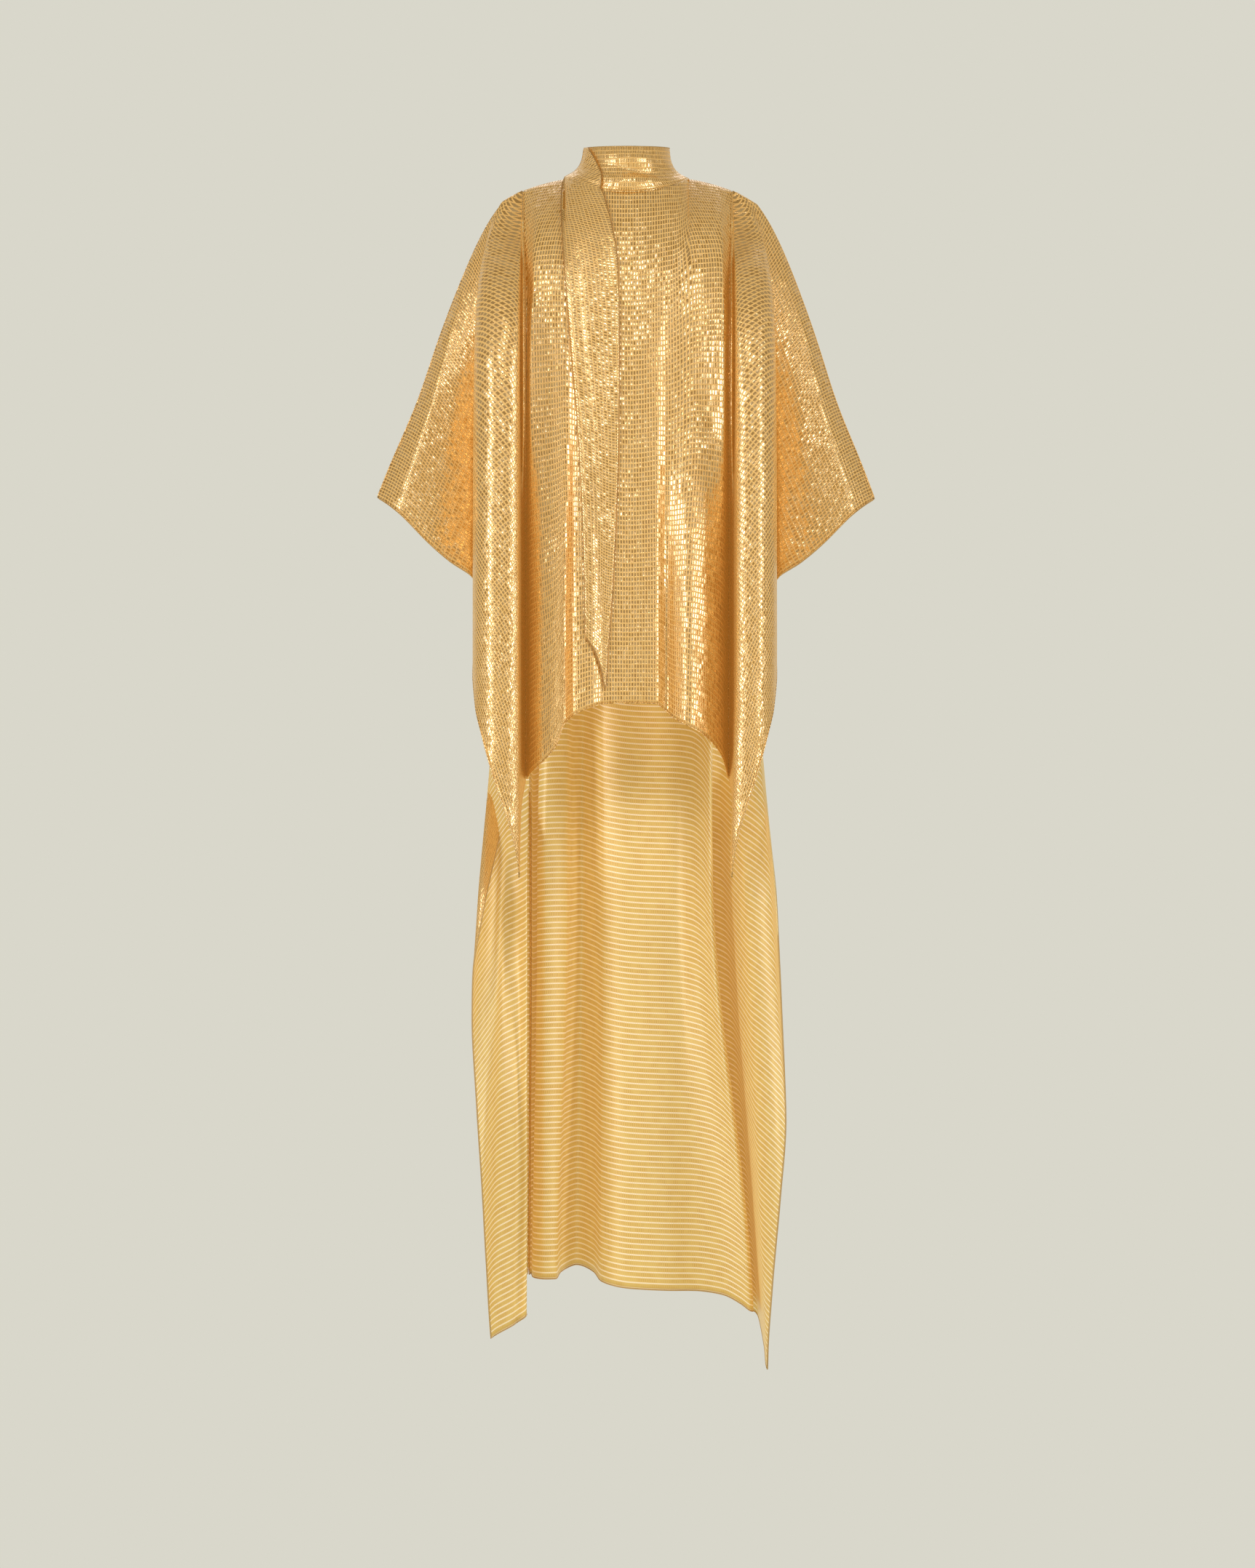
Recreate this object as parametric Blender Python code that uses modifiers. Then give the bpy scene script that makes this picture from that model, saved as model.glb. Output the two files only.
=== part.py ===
"""Worn kaftan of metallic woven cloth: short front, floor-length back, open rectangular sleeves,
funnel collar and a scarf end down the front.

Metres, +Z up, the front faces -Y, left and right are as seen from the front. The origin is the neck base,
level with the shoulders. Every piece of cloth is a grid that is laid on a worked-out surface and made a
wall by Solidify: the wings are flat rectangles that fall in folds from the top of the shoulder seam, and
the bodies run between the neckline and the hem.
"""
import math

import bmesh
import bpy
import numpy as np

# driving dimensions, in metres and degrees
CLOTH_WALL = 0.0015
SEAM_GAP = 0.0003
SEAM_HALF = 0.5 * (CLOTH_WALL + SEAM_GAP) + 0.0001
EDGE_HALF = 0.0006
TOP_HALF = 0.0011
SHOULDER_HALF = 0.135
SHOULDER_HEIGHT = -0.0115
SHOULDER_SETTLE = 0.0065
SHOULDER_SETTLE_REACH = 0.03
NECK_HALF = 0.078
NECK_SIDE_HEIGHT = 0.003
NECK_FRONT_DEPTH = 0.080
NECK_FRONT_HEIGHT = -0.026
NECK_BACK_DEPTH = 0.058
NECK_BACK_HEIGHT = 0.004
NECK_PLACE = 0.60
COLLAR_TOP = 0.0335
COLLAR_RISE = 0.0195
SEAM_ANGLE = 8.0
CUFF_WIDTH = 0.47
CUFF_TAKE_UP = 0.08
FRONT_SEAM_LENGTH = 0.746
FRONT_LENGTH = 0.7546
BACK_LENGTH_LEFT = 1.395
BACK_LENGTH_RIGHT = 1.4355
FOLD_SHIFT = 4.0
SCARF_LIFT = 0.0035
SCARF_START = 0.0080
COLLAR_CLEAR = 0.5 * CLOTH_WALL + 2 * SEAM_GAP
SEAM_HOLD_POWER = 8
FRONT_ROWS = 18
BACK_ROWS = 24
ROWS_POWER = 1.1
FRONT_COLUMNS = 28
BACK_COLUMNS = 30
COLLAR_GRID = (36, 6)
SCARF_GRID = (5, 6, 20)
NECK_EASE_DROP = 0.25
NECK_DIP_POWER = 1.5
NECK_ROUND_POWER = 0.9
SHOULDER_POWER = 1.4
LIFT_STEP = 0.002
MERGE_DISTANCE = 0.00002
PLACE_TRIES = 6
FIRST_DOWN = 0.02
LEAST_DOWN = 0.004
CHEST_SOFT_DROP = 0.085
FRONT_DOME = 0.58
BACK_DOME = 0.36
LEAST_DROP_SHARE = 0.16
ARM_DIP = 0.0035
ARM_DIP_REACH = 0.30
ARM_DIP_LENGTH = 0.07
SCARF_END_POWER = 1.35
SCARF_PLACES = (-0.74, 0.0, 297)

# ranges over which a wing's shape passes from one rule to the next: angles off the grain in degrees,
# reaches from the top of the shoulder seam in metres
SEAM_ANGLES = (8, 22)
SHIFT_ANGLES = (8, 20)
TUCK_ANGLES = (14, 28)
HANGING_ANGLES = (38, 44)
ARM_ANGLES = (66, 90)
TAKE_UP_ANGLES = (70, 90)
FOLDED_REACH = (0.04, 0.34)
HANGING_REACH = (0.45, 0.75)
SHIFT_REACH = (0.55, 0.85)
TUCK_REACH = (0.60, 0.89)
MID_REACH = (0.70, 0.92)
FAR_REACH = (0.92, 1.25)
EDGE_REACH = (0.05, 0.15)
CLOTH_GOLD = (0.62, 0.37, 0.11)
SCARF_GOLD = (0.56, 0.32, 0.09)

# what differs between the two sides: outline = share of the front folds' swell, tuck = how far the front
# point leans inward, arm_lean and arm_swell = outward along the arm line
SIDES = (
    ("side", "outline", "tuck", "arm_lean", "arm_swell"),
    (-1, 1.000, 0.001, 0.0090, 0.0020),
    (1, 0.885, 0.006, -0.0095, 0.0060),
)

# the dropped shoulder seam: along = distance down the seam, inward = towards the centre line,
# out = forward of the arm plane on the front, behind it on the back
FRONT_SEAM = (
    ("along", "inward", "out"),
    (0.00, 0.000, 0.0000),
    (0.06, 0.002, 0.0410),
    (0.14, 0.005, 0.0820),
    (0.20, 0.006, 0.0980),
    (0.26, 0.006, 0.1030),
    (0.32, 0.006, 0.0930),
    (0.40, 0.005, 0.0550),
    (0.50, 0.004, 0.0130),
    (0.60, 0.004, 0.0004),
    (0.80, 0.004, 0.0002),
)
BACK_SEAM_LEFT = (
    ("along", "inward", "out"),
    (0.00, 0.000, 0.0000),
    (0.06, 0.002, 0.0300),
    (0.14, 0.005, 0.0450),
    (0.27, 0.006, 0.0004),
    (0.50, 0.004, 0.0002),
    (0.62, 0.005, 0.0250),
    (0.78, 0.007, 0.0900),
    (1.00, 0.007, 0.1000),
    (1.25, 0.006, 0.0950),
    (1.50, 0.004, 0.0850),
)
BACK_SEAM_RIGHT = (
    ("along", "inward", "out"),
    (0.00, 0.000, 0.0000),
    (0.06, 0.002, 0.0300),
    (0.14, 0.005, 0.0450),
    (0.27, 0.006, 0.0004),
    (0.40, 0.007, 0.0060),
    (0.50, 0.010, 0.0240),
    (0.60, 0.016, 0.0520),
    (0.70, 0.026, 0.0820),
    (0.80, 0.032, 0.1050),
    (1.00, 0.020, 0.1150),
    (1.25, -0.006, 0.1150),
    (1.50, -0.031, 0.1150),
)

# folds of a wing, one row per fold line through the top of the shoulder seam:
# angle = off the grain in degrees, lean = outward per metre, swell = outward soon after the shoulder,
# soft = length over which it swells, near, mid and far = distance from the arm plane
# about 0.6, 0.9 and 1.3 m down
FRONT_FOLDS = (
    ("angle", "lean", "swell", "soft", "near", "mid", "far"),
    (8.0, 0.0000, 0.0000, 0.060, 0.000, 0.000, 0.000),
    (12.0, 0.0000, -0.0006, 0.060, 0.040, 0.040, 0.040),
    (16.0, 0.0000, -0.0008, 0.060, 0.075, 0.075, 0.075),
    (21.0, 0.0000, -0.0004, 0.060, 0.105, 0.105, 0.105),
    (26.0, 0.0000, 0.0000, 0.060, 0.130, 0.130, 0.130),
    (31.9, 0.0000, 0.0005, 0.060, 0.150, 0.150, 0.150),
    (33.9, 0.0000, 0.0077, 0.060, 0.157, 0.157, 0.157),
    (35.5, 0.0000, 0.0195, 0.060, 0.160, 0.160, 0.160),
    (36.9, 0.0000, 0.0310, 0.070, 0.159, 0.159, 0.159),
    (39.2, 0.0000, 0.0455, 0.080, 0.150, 0.150, 0.150),
    (41.5, 0.0000, 0.0550, 0.080, 0.132, 0.132, 0.132),
    (45.0, 0.0010, 0.0585, 0.070, 0.105, 0.105, 0.105),
    (52.0, 0.0010, 0.0575, 0.060, 0.060, 0.060, 0.060),
    (60.0, 0.0020, 0.0550, 0.050, 0.018, 0.018, 0.018),
    (66.0, 0.0100, 0.0535, 0.048, 0.002, 0.002, 0.002),
    (70.0, 0.0270, 0.0520, 0.045, 0.000, 0.000, 0.000),
    (74.0, 0.1000, 0.0450, 0.045, 0.016, 0.016, 0.016),
    (78.0, 0.1720, 0.0390, 0.042, 0.030, 0.030, 0.030),
    (84.0, 0.2620, 0.0340, 0.042, 0.032, 0.032, 0.032),
    (87.0, 0.3070, 0.0315, 0.042, 0.020, 0.020, 0.020),
    (90.0, 0.3525, 0.0290, 0.042, 0.000, 0.000, 0.000),
)
BACK_SLEEVE_FOLDS = (
    (38.5, 0.0000, 0.0160, 0.060, 0.162, 0.050, 0.000),
    (41.0, 0.0000, 0.0470, 0.060, 0.152, 0.050, 0.000),
    (44.0, 0.0000, 0.0560, 0.060, 0.130, 0.050, 0.000),
    (51.0, 0.0010, 0.0560, 0.060, 0.075, 0.050, 0.000),
    (60.0, 0.0020, 0.0545, 0.050, 0.020, 0.020, 0.000),
    (66.0, 0.0100, 0.0530, 0.048, 0.004, 0.004, 0.004),
    (70.0, 0.0270, 0.0520, 0.045, 0.002, 0.002, 0.002),
    (74.0, 0.1000, 0.0450, 0.045, 0.018, 0.018, 0.018),
    (78.0, 0.1720, 0.0390, 0.042, 0.032, 0.032, 0.032),
    (84.0, 0.2620, 0.0340, 0.042, 0.034, 0.034, 0.034),
    (87.0, 0.3070, 0.0315, 0.042, 0.021, 0.021, 0.021),
    (90.0, 0.3525, 0.0290, 0.042, 0.000, 0.000, 0.000),
)
BACK_FOLDS_LEFT = (
    ("angle", "lean", "swell", "soft", "near", "mid", "far"),
    (8.0, 0.0000, 0.000, 0.060, 0.000, 0.000, 0.000),
    (10.5, 0.0240, 0.000, 0.060, 0.030, 0.026, 0.020),
    (12.8, 0.0130, 0.000, 0.060, 0.055, -0.010, -0.030),
    (14.8, -0.0025, 0.000, 0.060, 0.075, -0.046, -0.062),
    (16.6, 0.0070, 0.000, 0.060, 0.090, -0.004, -0.040),
    (18.6, 0.0268, 0.000, 0.060, 0.105, 0.020, -0.046),
    (20.0, 0.0325, 0.000, 0.060, 0.115, 0.026, -0.056),
    (21.7, 0.0390, 0.000, 0.060, 0.125, 0.034, -0.066),
    (23.6, 0.0480, 0.000, 0.060, 0.132, 0.030, -0.070),
    (26.3, 0.0600, 0.000, 0.060, 0.142, 0.012, -0.078),
    (28.0, 0.0625, 0.000, 0.060, 0.148, -0.004, -0.082),
    (30.0, 0.0560, 0.000, 0.060, 0.153, -0.010, -0.080),
    (33.0, 0.0440, 0.000, 0.060, 0.158, 0.005, -0.060),
    (36.0, 0.0280, 0.004, 0.060, 0.162, 0.030, 0.000),
) + BACK_SLEEVE_FOLDS
BACK_FOLDS_RIGHT = (
    ("angle", "lean", "swell", "soft", "near", "mid", "far"),
    (8.0, 0.0000, 0.000, 0.060, 0.000, 0.000, 0.000),
    (10.5, -0.0020, 0.000, 0.060, 0.030, 0.042, 0.040),
    (13.0, 0.0120, 0.000, 0.060, 0.055, 0.056, 0.052),
    (15.5, 0.0190, 0.000, 0.060, 0.080, 0.004, -0.030),
    (18.1, 0.0245, 0.000, 0.060, 0.100, -0.012, -0.064),
    (19.5, 0.0328, 0.000, 0.060, 0.112, -0.014, -0.074),
    (21.3, 0.0444, 0.000, 0.060, 0.122, -0.015, -0.080),
    (23.4, 0.0549, 0.000, 0.060, 0.132, -0.025, -0.083),
    (26.0, 0.0572, 0.000, 0.060, 0.141, -0.040, -0.085),
    (28.7, 0.0587, 0.000, 0.060, 0.150, -0.050, -0.085),
    (31.5, 0.0598, 0.000, 0.060, 0.156, -0.045, -0.075),
    (35.6, 0.0600, 0.000, 0.060, 0.162, 0.010, -0.020),
) + BACK_SLEEVE_FOLDS

# sections of the bodies, one row per place from one seam (-1) to the other (1)
FRONT_BODY = (
    ("place", "chest_x", "chest_y", "hem_x", "hem_y", "hem_z"),
    (-1.00, -0.1300, 0.000, -0.1305, 0.000, -0.7750),
    (-0.93, -0.1265, -0.050, -0.1265, -0.058, -0.7700),
    (-0.85, -0.1225, -0.088, -0.1215, -0.097, -0.7635),
    (-0.75, -0.1070, -0.103, -0.1075, -0.112, -0.7503),
    (-0.66, -0.0910, -0.108, -0.0905, -0.113, -0.7300),
    (-0.58, -0.0770, -0.108, -0.0800, -0.112, -0.7030),
    (-0.48, -0.0640, -0.113, -0.0660, -0.126, -0.6900),
    (-0.38, -0.0500, -0.116, -0.0480, -0.128, -0.6820),
    (-0.25, -0.0330, -0.118, -0.0300, -0.122, -0.6770),
    (-0.10, -0.0130, -0.120, -0.0100, -0.121, -0.6760),
    (0.10, 0.0130, -0.120, 0.0120, -0.122, -0.6760),
    (0.28, 0.0370, -0.117, 0.0370, -0.120, -0.6770),
    (0.37, 0.0490, -0.113, 0.0490, -0.109, -0.6860),
    (0.46, 0.0610, -0.111, 0.0610, -0.120, -0.6960),
    (0.57, 0.0760, -0.110, 0.0770, -0.130, -0.7050),
    (0.67, 0.0900, -0.108, 0.0915, -0.124, -0.7130),
    (0.78, 0.1070, -0.102, 0.1065, -0.112, -0.7255),
    (0.88, 0.1215, -0.086, 0.1185, -0.092, -0.7430),
    (0.94, 0.1260, -0.050, 0.1240, -0.052, -0.7590),
    (1.00, 0.1300, 0.000, 0.1270, 0.000, -0.7720),
)
BACK_BODY = (
    ("place", "high_x", "high_y", "mid_x", "mid_y", "low_x", "low_y", "hem_z"),
    (-1.00, -0.1300, 0.000, -0.1270, 0.100, -0.1300, 0.085, -1.4340),
    (-0.95, -0.1240, 0.030, -0.1255, 0.115, -0.1290, 0.095, -1.4300),
    (-0.90, -0.1190, 0.060, -0.1215, 0.132, -0.1280, 0.100, -1.4280),
    (-0.84, -0.1120, 0.086, -0.1165, 0.146, -0.1270, 0.098, -1.4270),
    (-0.77, -0.1000, 0.101, -0.1185, 0.088, -0.1240, 0.072, -1.4262),
    (-0.68, -0.0870, 0.112, -0.1070, 0.070, -0.1090, 0.058, -1.4260),
    (-0.59, -0.0740, 0.119, -0.0800, 0.085, -0.0940, 0.064, -1.4260),
    (-0.54, -0.0670, 0.122, -0.0745, 0.120, -0.0895, 0.100, -1.4230),
    (-0.47, -0.0560, 0.126, -0.0610, 0.148, -0.0680, 0.138, -1.4175),
    (-0.38, -0.0440, 0.129, -0.0430, 0.125, -0.0450, 0.110, -1.4230),
    (-0.30, -0.0330, 0.131, -0.0300, 0.108, -0.0340, 0.075, -1.4310),
    (-0.12, -0.0110, 0.133, 0.0020, 0.098, 0.0030, 0.055, -1.4375),
    (0.12, 0.0180, 0.133, 0.0380, 0.100, 0.0500, 0.055, -1.4400),
    (0.36, 0.0500, 0.129, 0.0640, 0.098, 0.0900, 0.060, -1.4410),
    (0.54, 0.0740, 0.121, 0.0860, 0.084, 0.1240, 0.056, -1.4455),
    (0.68, 0.0930, 0.108, 0.1010, 0.066, 0.1480, 0.048, -1.4570),
    (0.77, 0.1060, 0.095, 0.1080, 0.056, 0.1590, 0.044, -1.4660),
    (0.84, 0.1130, 0.082, 0.1110, 0.062, 0.1640, 0.052, -1.4700),
    (0.90, 0.1175, 0.056, 0.1100, 0.079, 0.1630, 0.074, -1.4720),
    (0.95, 0.1225, 0.026, 0.1062, 0.093, 0.1605, 0.096, -1.4740),
    (1.00, 0.1300, 0.000, 0.1040, 0.112, 0.1590, 0.115, -1.4760),
)
FRONT_LEVELS = ((-0.25, "chest"), (-0.60, "hem"))
BACK_LEVELS = ((-0.28, "high"), (-0.90, "mid"), (-1.48, "low"))

# collar sections from the neck seam (height 0) to the top edge (height 1)
COLLAR = (
    ("height", "half_width", "front", "back"),
    (0.00, 0.0785, 0.0810, 0.0590),
    (0.16, 0.0665, 0.0830, 0.0580),
    (0.42, 0.0585, 0.0765, 0.0560),
    (0.66, 0.0555, 0.0755, 0.0545),
    (1.00, 0.0540, 0.0700, 0.0540),
)
# scarf edges on the collar, as places on the neckline
SCARF_COLLAR = (
    ("height", "left", "right"),
    (0.00, -0.600, -0.167),
    (0.33, -0.565, -0.215),
    (0.66, -0.540, -0.300),
    (1.00, -0.515, -0.417),
)
# scarf edges on the front body, as distances below the origin and from the centre line
SCARF_EDGES = (
    ("drop", "left", "right"),
    (0.0000, -0.0830, -0.0370),
    (0.0150, -0.0840, -0.0330),
    (0.0300, -0.0850, -0.0300),
    (0.0600, -0.0840, -0.0225),
    (0.1200, -0.0800, -0.0125),
    (0.2000, -0.0730, -0.0105),
    (0.2720, -0.0665, -0.0105),
    (0.3700, -0.0595, -0.0120),
    (0.4650, -0.0550, -0.0155),
    (0.5400, -0.0535, -0.0195),
    (0.6000, -0.0530, -0.0240),
    (0.6700, -0.0530, -0.0285),
)
SCARF_END = (0.594, 0.661)


def column(table, name):
    """One named column of a table as numbers."""
    place = table[0].index(name)
    return np.array([row[place] for row in table[1:]], float)


def smooth(x, y, at):
    """Smooth curve through the points x, y that never overshoots them."""
    at = np.clip(np.asarray(at, float), x[0], x[-1])
    step = np.diff(x)
    slope = np.diff(y) / step
    same_way = slope[:-1] * slope[1:] > 0
    near = 2 * step[1:] + step[:-1]
    far = step[1:] + 2 * step[:-1]
    product = np.where(same_way, slope[:-1] * slope[1:], 0.0)
    below = np.where(same_way, near * slope[1:] + far * slope[:-1], 1.0)
    tangent = np.concatenate([slope[:1], (near + far) * product / below, slope[-1:]])
    i = np.clip(np.searchsorted(x, at, side="right") - 1, 0, len(x) - 2)
    h = step[i]
    t = (at - x[i]) / h
    rise = t * t * (3 - 2 * t)
    leave = t * (1 - t) ** 2 * h * tangent[i]
    arrive = t * t * (1 - t) * h * tangent[i + 1]
    return (1 - rise) * y[i] + rise * y[i + 1] + leave - arrive


def track(table, key, name, at):
    """Value of a named column where the key column has the value at."""
    return smooth(column(table, key), column(table, name), at)


def ease(start, end, at):
    """0 before start, 1 after end, smooth between."""
    t = np.clip((at - start) / (end - start), 0, 1)
    return t * t * (3 - 2 * t)


def side_value(side, name):
    """What a side has of its own."""
    row = next(row for row in SIDES[1:] if row[0] == side)
    return row[SIDES[0].index(name)]


def apart(r):
    """Half the gap between front and back pieces at a distance from the top of the shoulder seam."""
    return EDGE_HALF + (TOP_HALF - EDGE_HALF) * (1 - ease(*EDGE_REACH, r))


def settle(r):
    """How much lower than on a straight line the cloth lies once it has rounded the shoulder."""
    return SHOULDER_SETTLE * (1 - np.exp(-r / SHOULDER_SETTLE_REACH))


def wing_shape(r, angle, folds, seam, toward, side):
    """Points of a wing; r from the top of the shoulder seam, angle off the grain, toward -1 front, 1 back."""
    reach = r * (1 - CUFF_TAKE_UP * ease(*TAKE_UP_ANGLES, angle))
    shift = FOLD_SHIFT * np.sin(np.radians(2 * angle)) ** 2 * (1 - ease(*SHIFT_REACH, r))
    a = angle - shift * ease(*SHIFT_ANGLES, angle)
    hanging = 1 - ease(*HANGING_ANGLES, a)
    grow = 1 - (1 - ease(*HANGING_REACH, r)) * hanging
    swelling = 1 - np.exp(-reach / track(folds, "angle", "soft", a))
    swell = track(folds, "angle", "swell", a)
    on_arm = ease(*ARM_ANGLES, a)
    outline = side_value(side, "outline") + (1 - side_value(side, "outline")) * on_arm
    out = grow * track(folds, "angle", "lean", a) * reach + swell * swelling * outline
    out = out + on_arm * (side_value(side, "arm_lean") * reach + side_value(side, "arm_swell") * swelling)
    out = out - on_arm * ARM_DIP * np.exp(-((reach - ARM_DIP_REACH) / ARM_DIP_LENGTH) ** 2)
    if toward < 0:
        out = out - side_value(side, "tuck") * ease(*TUCK_REACH, r) * ease(*TUCK_ANGLES, a)
    near = track(folds, "angle", "near", a)
    mid = track(folds, "angle", "mid", a)
    far = track(folds, "angle", "far", a)
    deep = near + (mid - near) * ease(*MID_REACH, r) + (far - mid) * ease(*FAR_REACH, r)
    folded = ease(*FOLDED_REACH, r)
    hold = 1 - ease(*SEAM_ANGLES, angle)
    out = out - hold * track(seam, "along", "inward", r)
    dome = (FRONT_DOME if toward < 0 else BACK_DOME) * (1 - ((angle - SEAM_ANGLE) / (90 - SEAM_ANGLE)) ** 2)
    deep = deep * folded + (1 - hold) * (1 - folded) * dome * reach
    y = toward * (deep + hold * track(seam, "along", "out", r) + apart(r))
    drop = np.sqrt(np.maximum(reach * reach - out * out - y * y, LEAST_DROP_SHARE * reach * reach))
    return np.stack([side * (SHOULDER_HALF + SEAM_HALF + out), y, SHOULDER_HEIGHT - settle(r) - drop], -1)


def rows_down(rows):
    """Shares of the way down of a grid's rows, the same for a wing and the body that it is sewn to."""
    return np.linspace(0, 1, rows + 1) ** ROWS_POWER


def wing_places(folds, seam_length, length, rows):
    """Distances and angles of a wing's grid, from the seam's grain line round to the arm line."""
    corner = math.degrees(math.atan2(CUFF_WIDTH, length))
    angles = column(folds, "angle")
    angles[np.argmin(np.abs(angles - corner))] = corner
    below = (np.minimum(angles, corner) - SEAM_ANGLE) / (corner - SEAM_ANGLE)
    hem = (seam_length + (length - seam_length) * below) / np.cos(np.radians(np.minimum(angles, corner)))
    cuff = CUFF_WIDTH / np.sin(np.radians(np.maximum(angles, corner)))
    reach = np.where(angles < corner, hem, cuff)
    down = rows_down(rows)
    return down[:, None] * reach[None, :], angles[None, :] + 0 * down[:, None]


def top_edge(place, depth, height, toward):
    """Shoulder line and neckline of a body panel."""
    p = np.abs(place)
    t = np.clip((p - NECK_PLACE) / (1 - NECK_PLACE), 0, 1)
    turn = np.clip(p / NECK_PLACE, 0, 1) * math.pi / 2
    on_neck = p < NECK_PLACE
    x = np.where(on_neck, NECK_HALF * np.sin(turn), NECK_HALF + (SHOULDER_HALF - NECK_HALF) * t)
    dip = (height - NECK_SIDE_HEIGHT) * np.cos(turn) ** NECK_DIP_POWER
    fall = (SHOULDER_HEIGHT - NECK_SIDE_HEIGHT) * t ** SHOULDER_POWER
    y = toward * (TOP_HALF + np.where(on_neck, depth * np.cos(turn) ** NECK_ROUND_POWER, 0.0))
    return np.stack([np.sign(place) * x, y, NECK_SIDE_HEIGHT + np.where(on_neck, dip, fall)], -1)


def seam_line(r, seam, toward, side):
    """Body side of the dropped shoulder seam."""
    inward = track(seam, "along", "inward", r)
    out = track(seam, "along", "out", r) + apart(r)
    drop = np.sqrt(np.maximum(r * r - inward * inward - out * out, 0.0))
    x = side * (SHOULDER_HALF - SEAM_HALF - inward)
    return np.stack([x, toward * out, SHOULDER_HEIGHT - settle(r) - drop], -1)


def body_inside(place, down, table, levels, neck, toward):
    """Body panel before its side edges are laid on the seams."""
    top = top_edge(place, neck[0], neck[1], toward)
    z = top[..., 2] + (track(table, "place", "hem_z", place) - top[..., 2]) * down
    x = track(table, "place", levels[0][1] + "_x", place)
    y = track(table, "place", levels[0][1] + "_y", place)
    for (above, _), (below, name) in zip(levels[:-1], levels[1:]):
        w = ease(above, below, z)
        x = x + w * (track(table, "place", name + "_x", place) - x)
        y = y + w * (track(table, "place", name + "_y", place) - y)
    fall = top[..., 2] - z
    x = top[..., 0] + (x - top[..., 0]) * ease(0.0, NECK_EASE_DROP, fall)
    y = top[..., 1] + (y - top[..., 1]) * np.tanh(fall / CHEST_SOFT_DROP)
    return np.stack([x, y, z], -1)


def body_shape(place, down, table, levels, neck, toward, seams, lengths):
    """Points of a body panel; place across from -1 to 1, down from 0 at the top edge to 1 at the hem."""
    points = body_inside(place, down, table, levels, neck, toward)
    for side, seam, length in zip((-1, 1), seams, lengths):
        edge = body_inside(side + 0 * place, down, table, levels, neck, toward)
        wanted = seam_line(down * length, seam, toward, side)
        weight = np.where(np.sign(place) == side, np.abs(place) ** SEAM_HOLD_POWER, 0.0)
        points = points + weight[..., None] * (wanted - edge)
    return points


def front_body_shape(place, down):
    """Front panel."""
    length = FRONT_SEAM_LENGTH / math.cos(math.radians(SEAM_ANGLE))
    neck = (NECK_FRONT_DEPTH, NECK_FRONT_HEIGHT)
    return body_shape(place, down, FRONT_BODY, FRONT_LEVELS, neck, -1, (FRONT_SEAM, FRONT_SEAM),
                      (length, length))


def back_body_shape(place, down):
    """Back panel."""
    grain = math.cos(math.radians(SEAM_ANGLE))
    neck = (NECK_BACK_DEPTH, NECK_BACK_HEIGHT)
    return body_shape(place, down, BACK_BODY, BACK_LEVELS, neck, 1, (BACK_SEAM_LEFT, BACK_SEAM_RIGHT),
                      (BACK_LENGTH_LEFT / grain, BACK_LENGTH_RIGHT / grain))


def collar_shape(turn, height):
    """Funnel collar; turn is 0 at the front centre and 1 once round the neck."""
    a = turn * 2 * math.pi
    front = np.cos(a) > 0
    low = np.where(front, NECK_FRONT_HEIGHT, NECK_BACK_HEIGHT)
    seam = NECK_SIDE_HEIGHT + (low - NECK_SIDE_HEIGHT) * np.abs(np.cos(a)) ** NECK_DIP_POWER + COLLAR_CLEAR
    depth = np.where(front, track(COLLAR, "height", "front", height), track(COLLAR, "height", "back", height))
    x = track(COLLAR, "height", "half_width", height) * np.sin(a)
    top = COLLAR_TOP + COLLAR_RISE * 0.5 * (1 - np.cos(a))
    return np.stack([x, -depth * np.cos(a), seam + (top - seam) * height], -1)


def lifted(shape, across, down, lift):
    """Points of a surface moved off it, forward where down runs up the surface."""
    point = shape(across, down)
    sideways = shape(across + LIFT_STEP, down) - shape(across - LIFT_STEP, down)
    lengthways = shape(across, down + LIFT_STEP) - shape(across, down - LIFT_STEP)
    normal = np.cross(sideways, lengthways)
    normal = normal / np.linalg.norm(normal, axis=-1, keepdims=True)
    return point + lift * normal


def scarf_shape(columns, collar_rows, body_rows):
    """Scarf end from the collar's top edge down the front body, made from their points, moved out."""
    s = np.linspace(0, 1, columns + 1)
    rows = []
    for height in np.linspace(1, 0, collar_rows + 1):
        left = track(SCARF_COLLAR, "height", "left", height)
        right = track(SCARF_COLLAR, "height", "right", height)
        place = left + (right - left) * s
        rows.append(lifted(collar_shape, place / (4 * NECK_PLACE), height + 0 * s, SCARF_LIFT))
    neck_seam = top_edge(place, NECK_FRONT_DEPTH, NECK_FRONT_HEIGHT, -1)[:, 2]
    start = SCARF_START - neck_seam
    end = SCARF_END[0] + (SCARF_END[1] - SCARF_END[0]) * s ** SCARF_END_POWER
    places = np.linspace(*SCARF_PLACES)
    for t in rows_down(body_rows):
        drop = start + (end - start) * t
        left = track(SCARF_EDGES, "drop", "left", drop)
        right = track(SCARF_EDGES, "drop", "right", drop)
        seen = [front_place(x, -z, places) for x, z in zip(left + (right - left) * s, drop)]
        across, down = np.array(seen).T
        rows.append(lifted(front_body_shape, across, down, -SCARF_LIFT))
    return np.array(rows)


def front_place(x, z, places):
    """Place on the front body that is seen from the front at x, z."""
    down = FIRST_DOWN
    for _ in range(PLACE_TRIES):
        points = front_body_shape(places, down + 0 * places)
        place = np.interp(x, points[:, 0], places)
        height = np.interp(x, points[:, 0], points[:, 2])
        top = top_edge(np.array([place]), NECK_FRONT_DEPTH, NECK_FRONT_HEIGHT, -1)[0, 2]
        down = np.clip(down + (height - z) / (top + FRONT_SEAM_LENGTH), LEAST_DOWN, 1.0)
    return place, down


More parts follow.
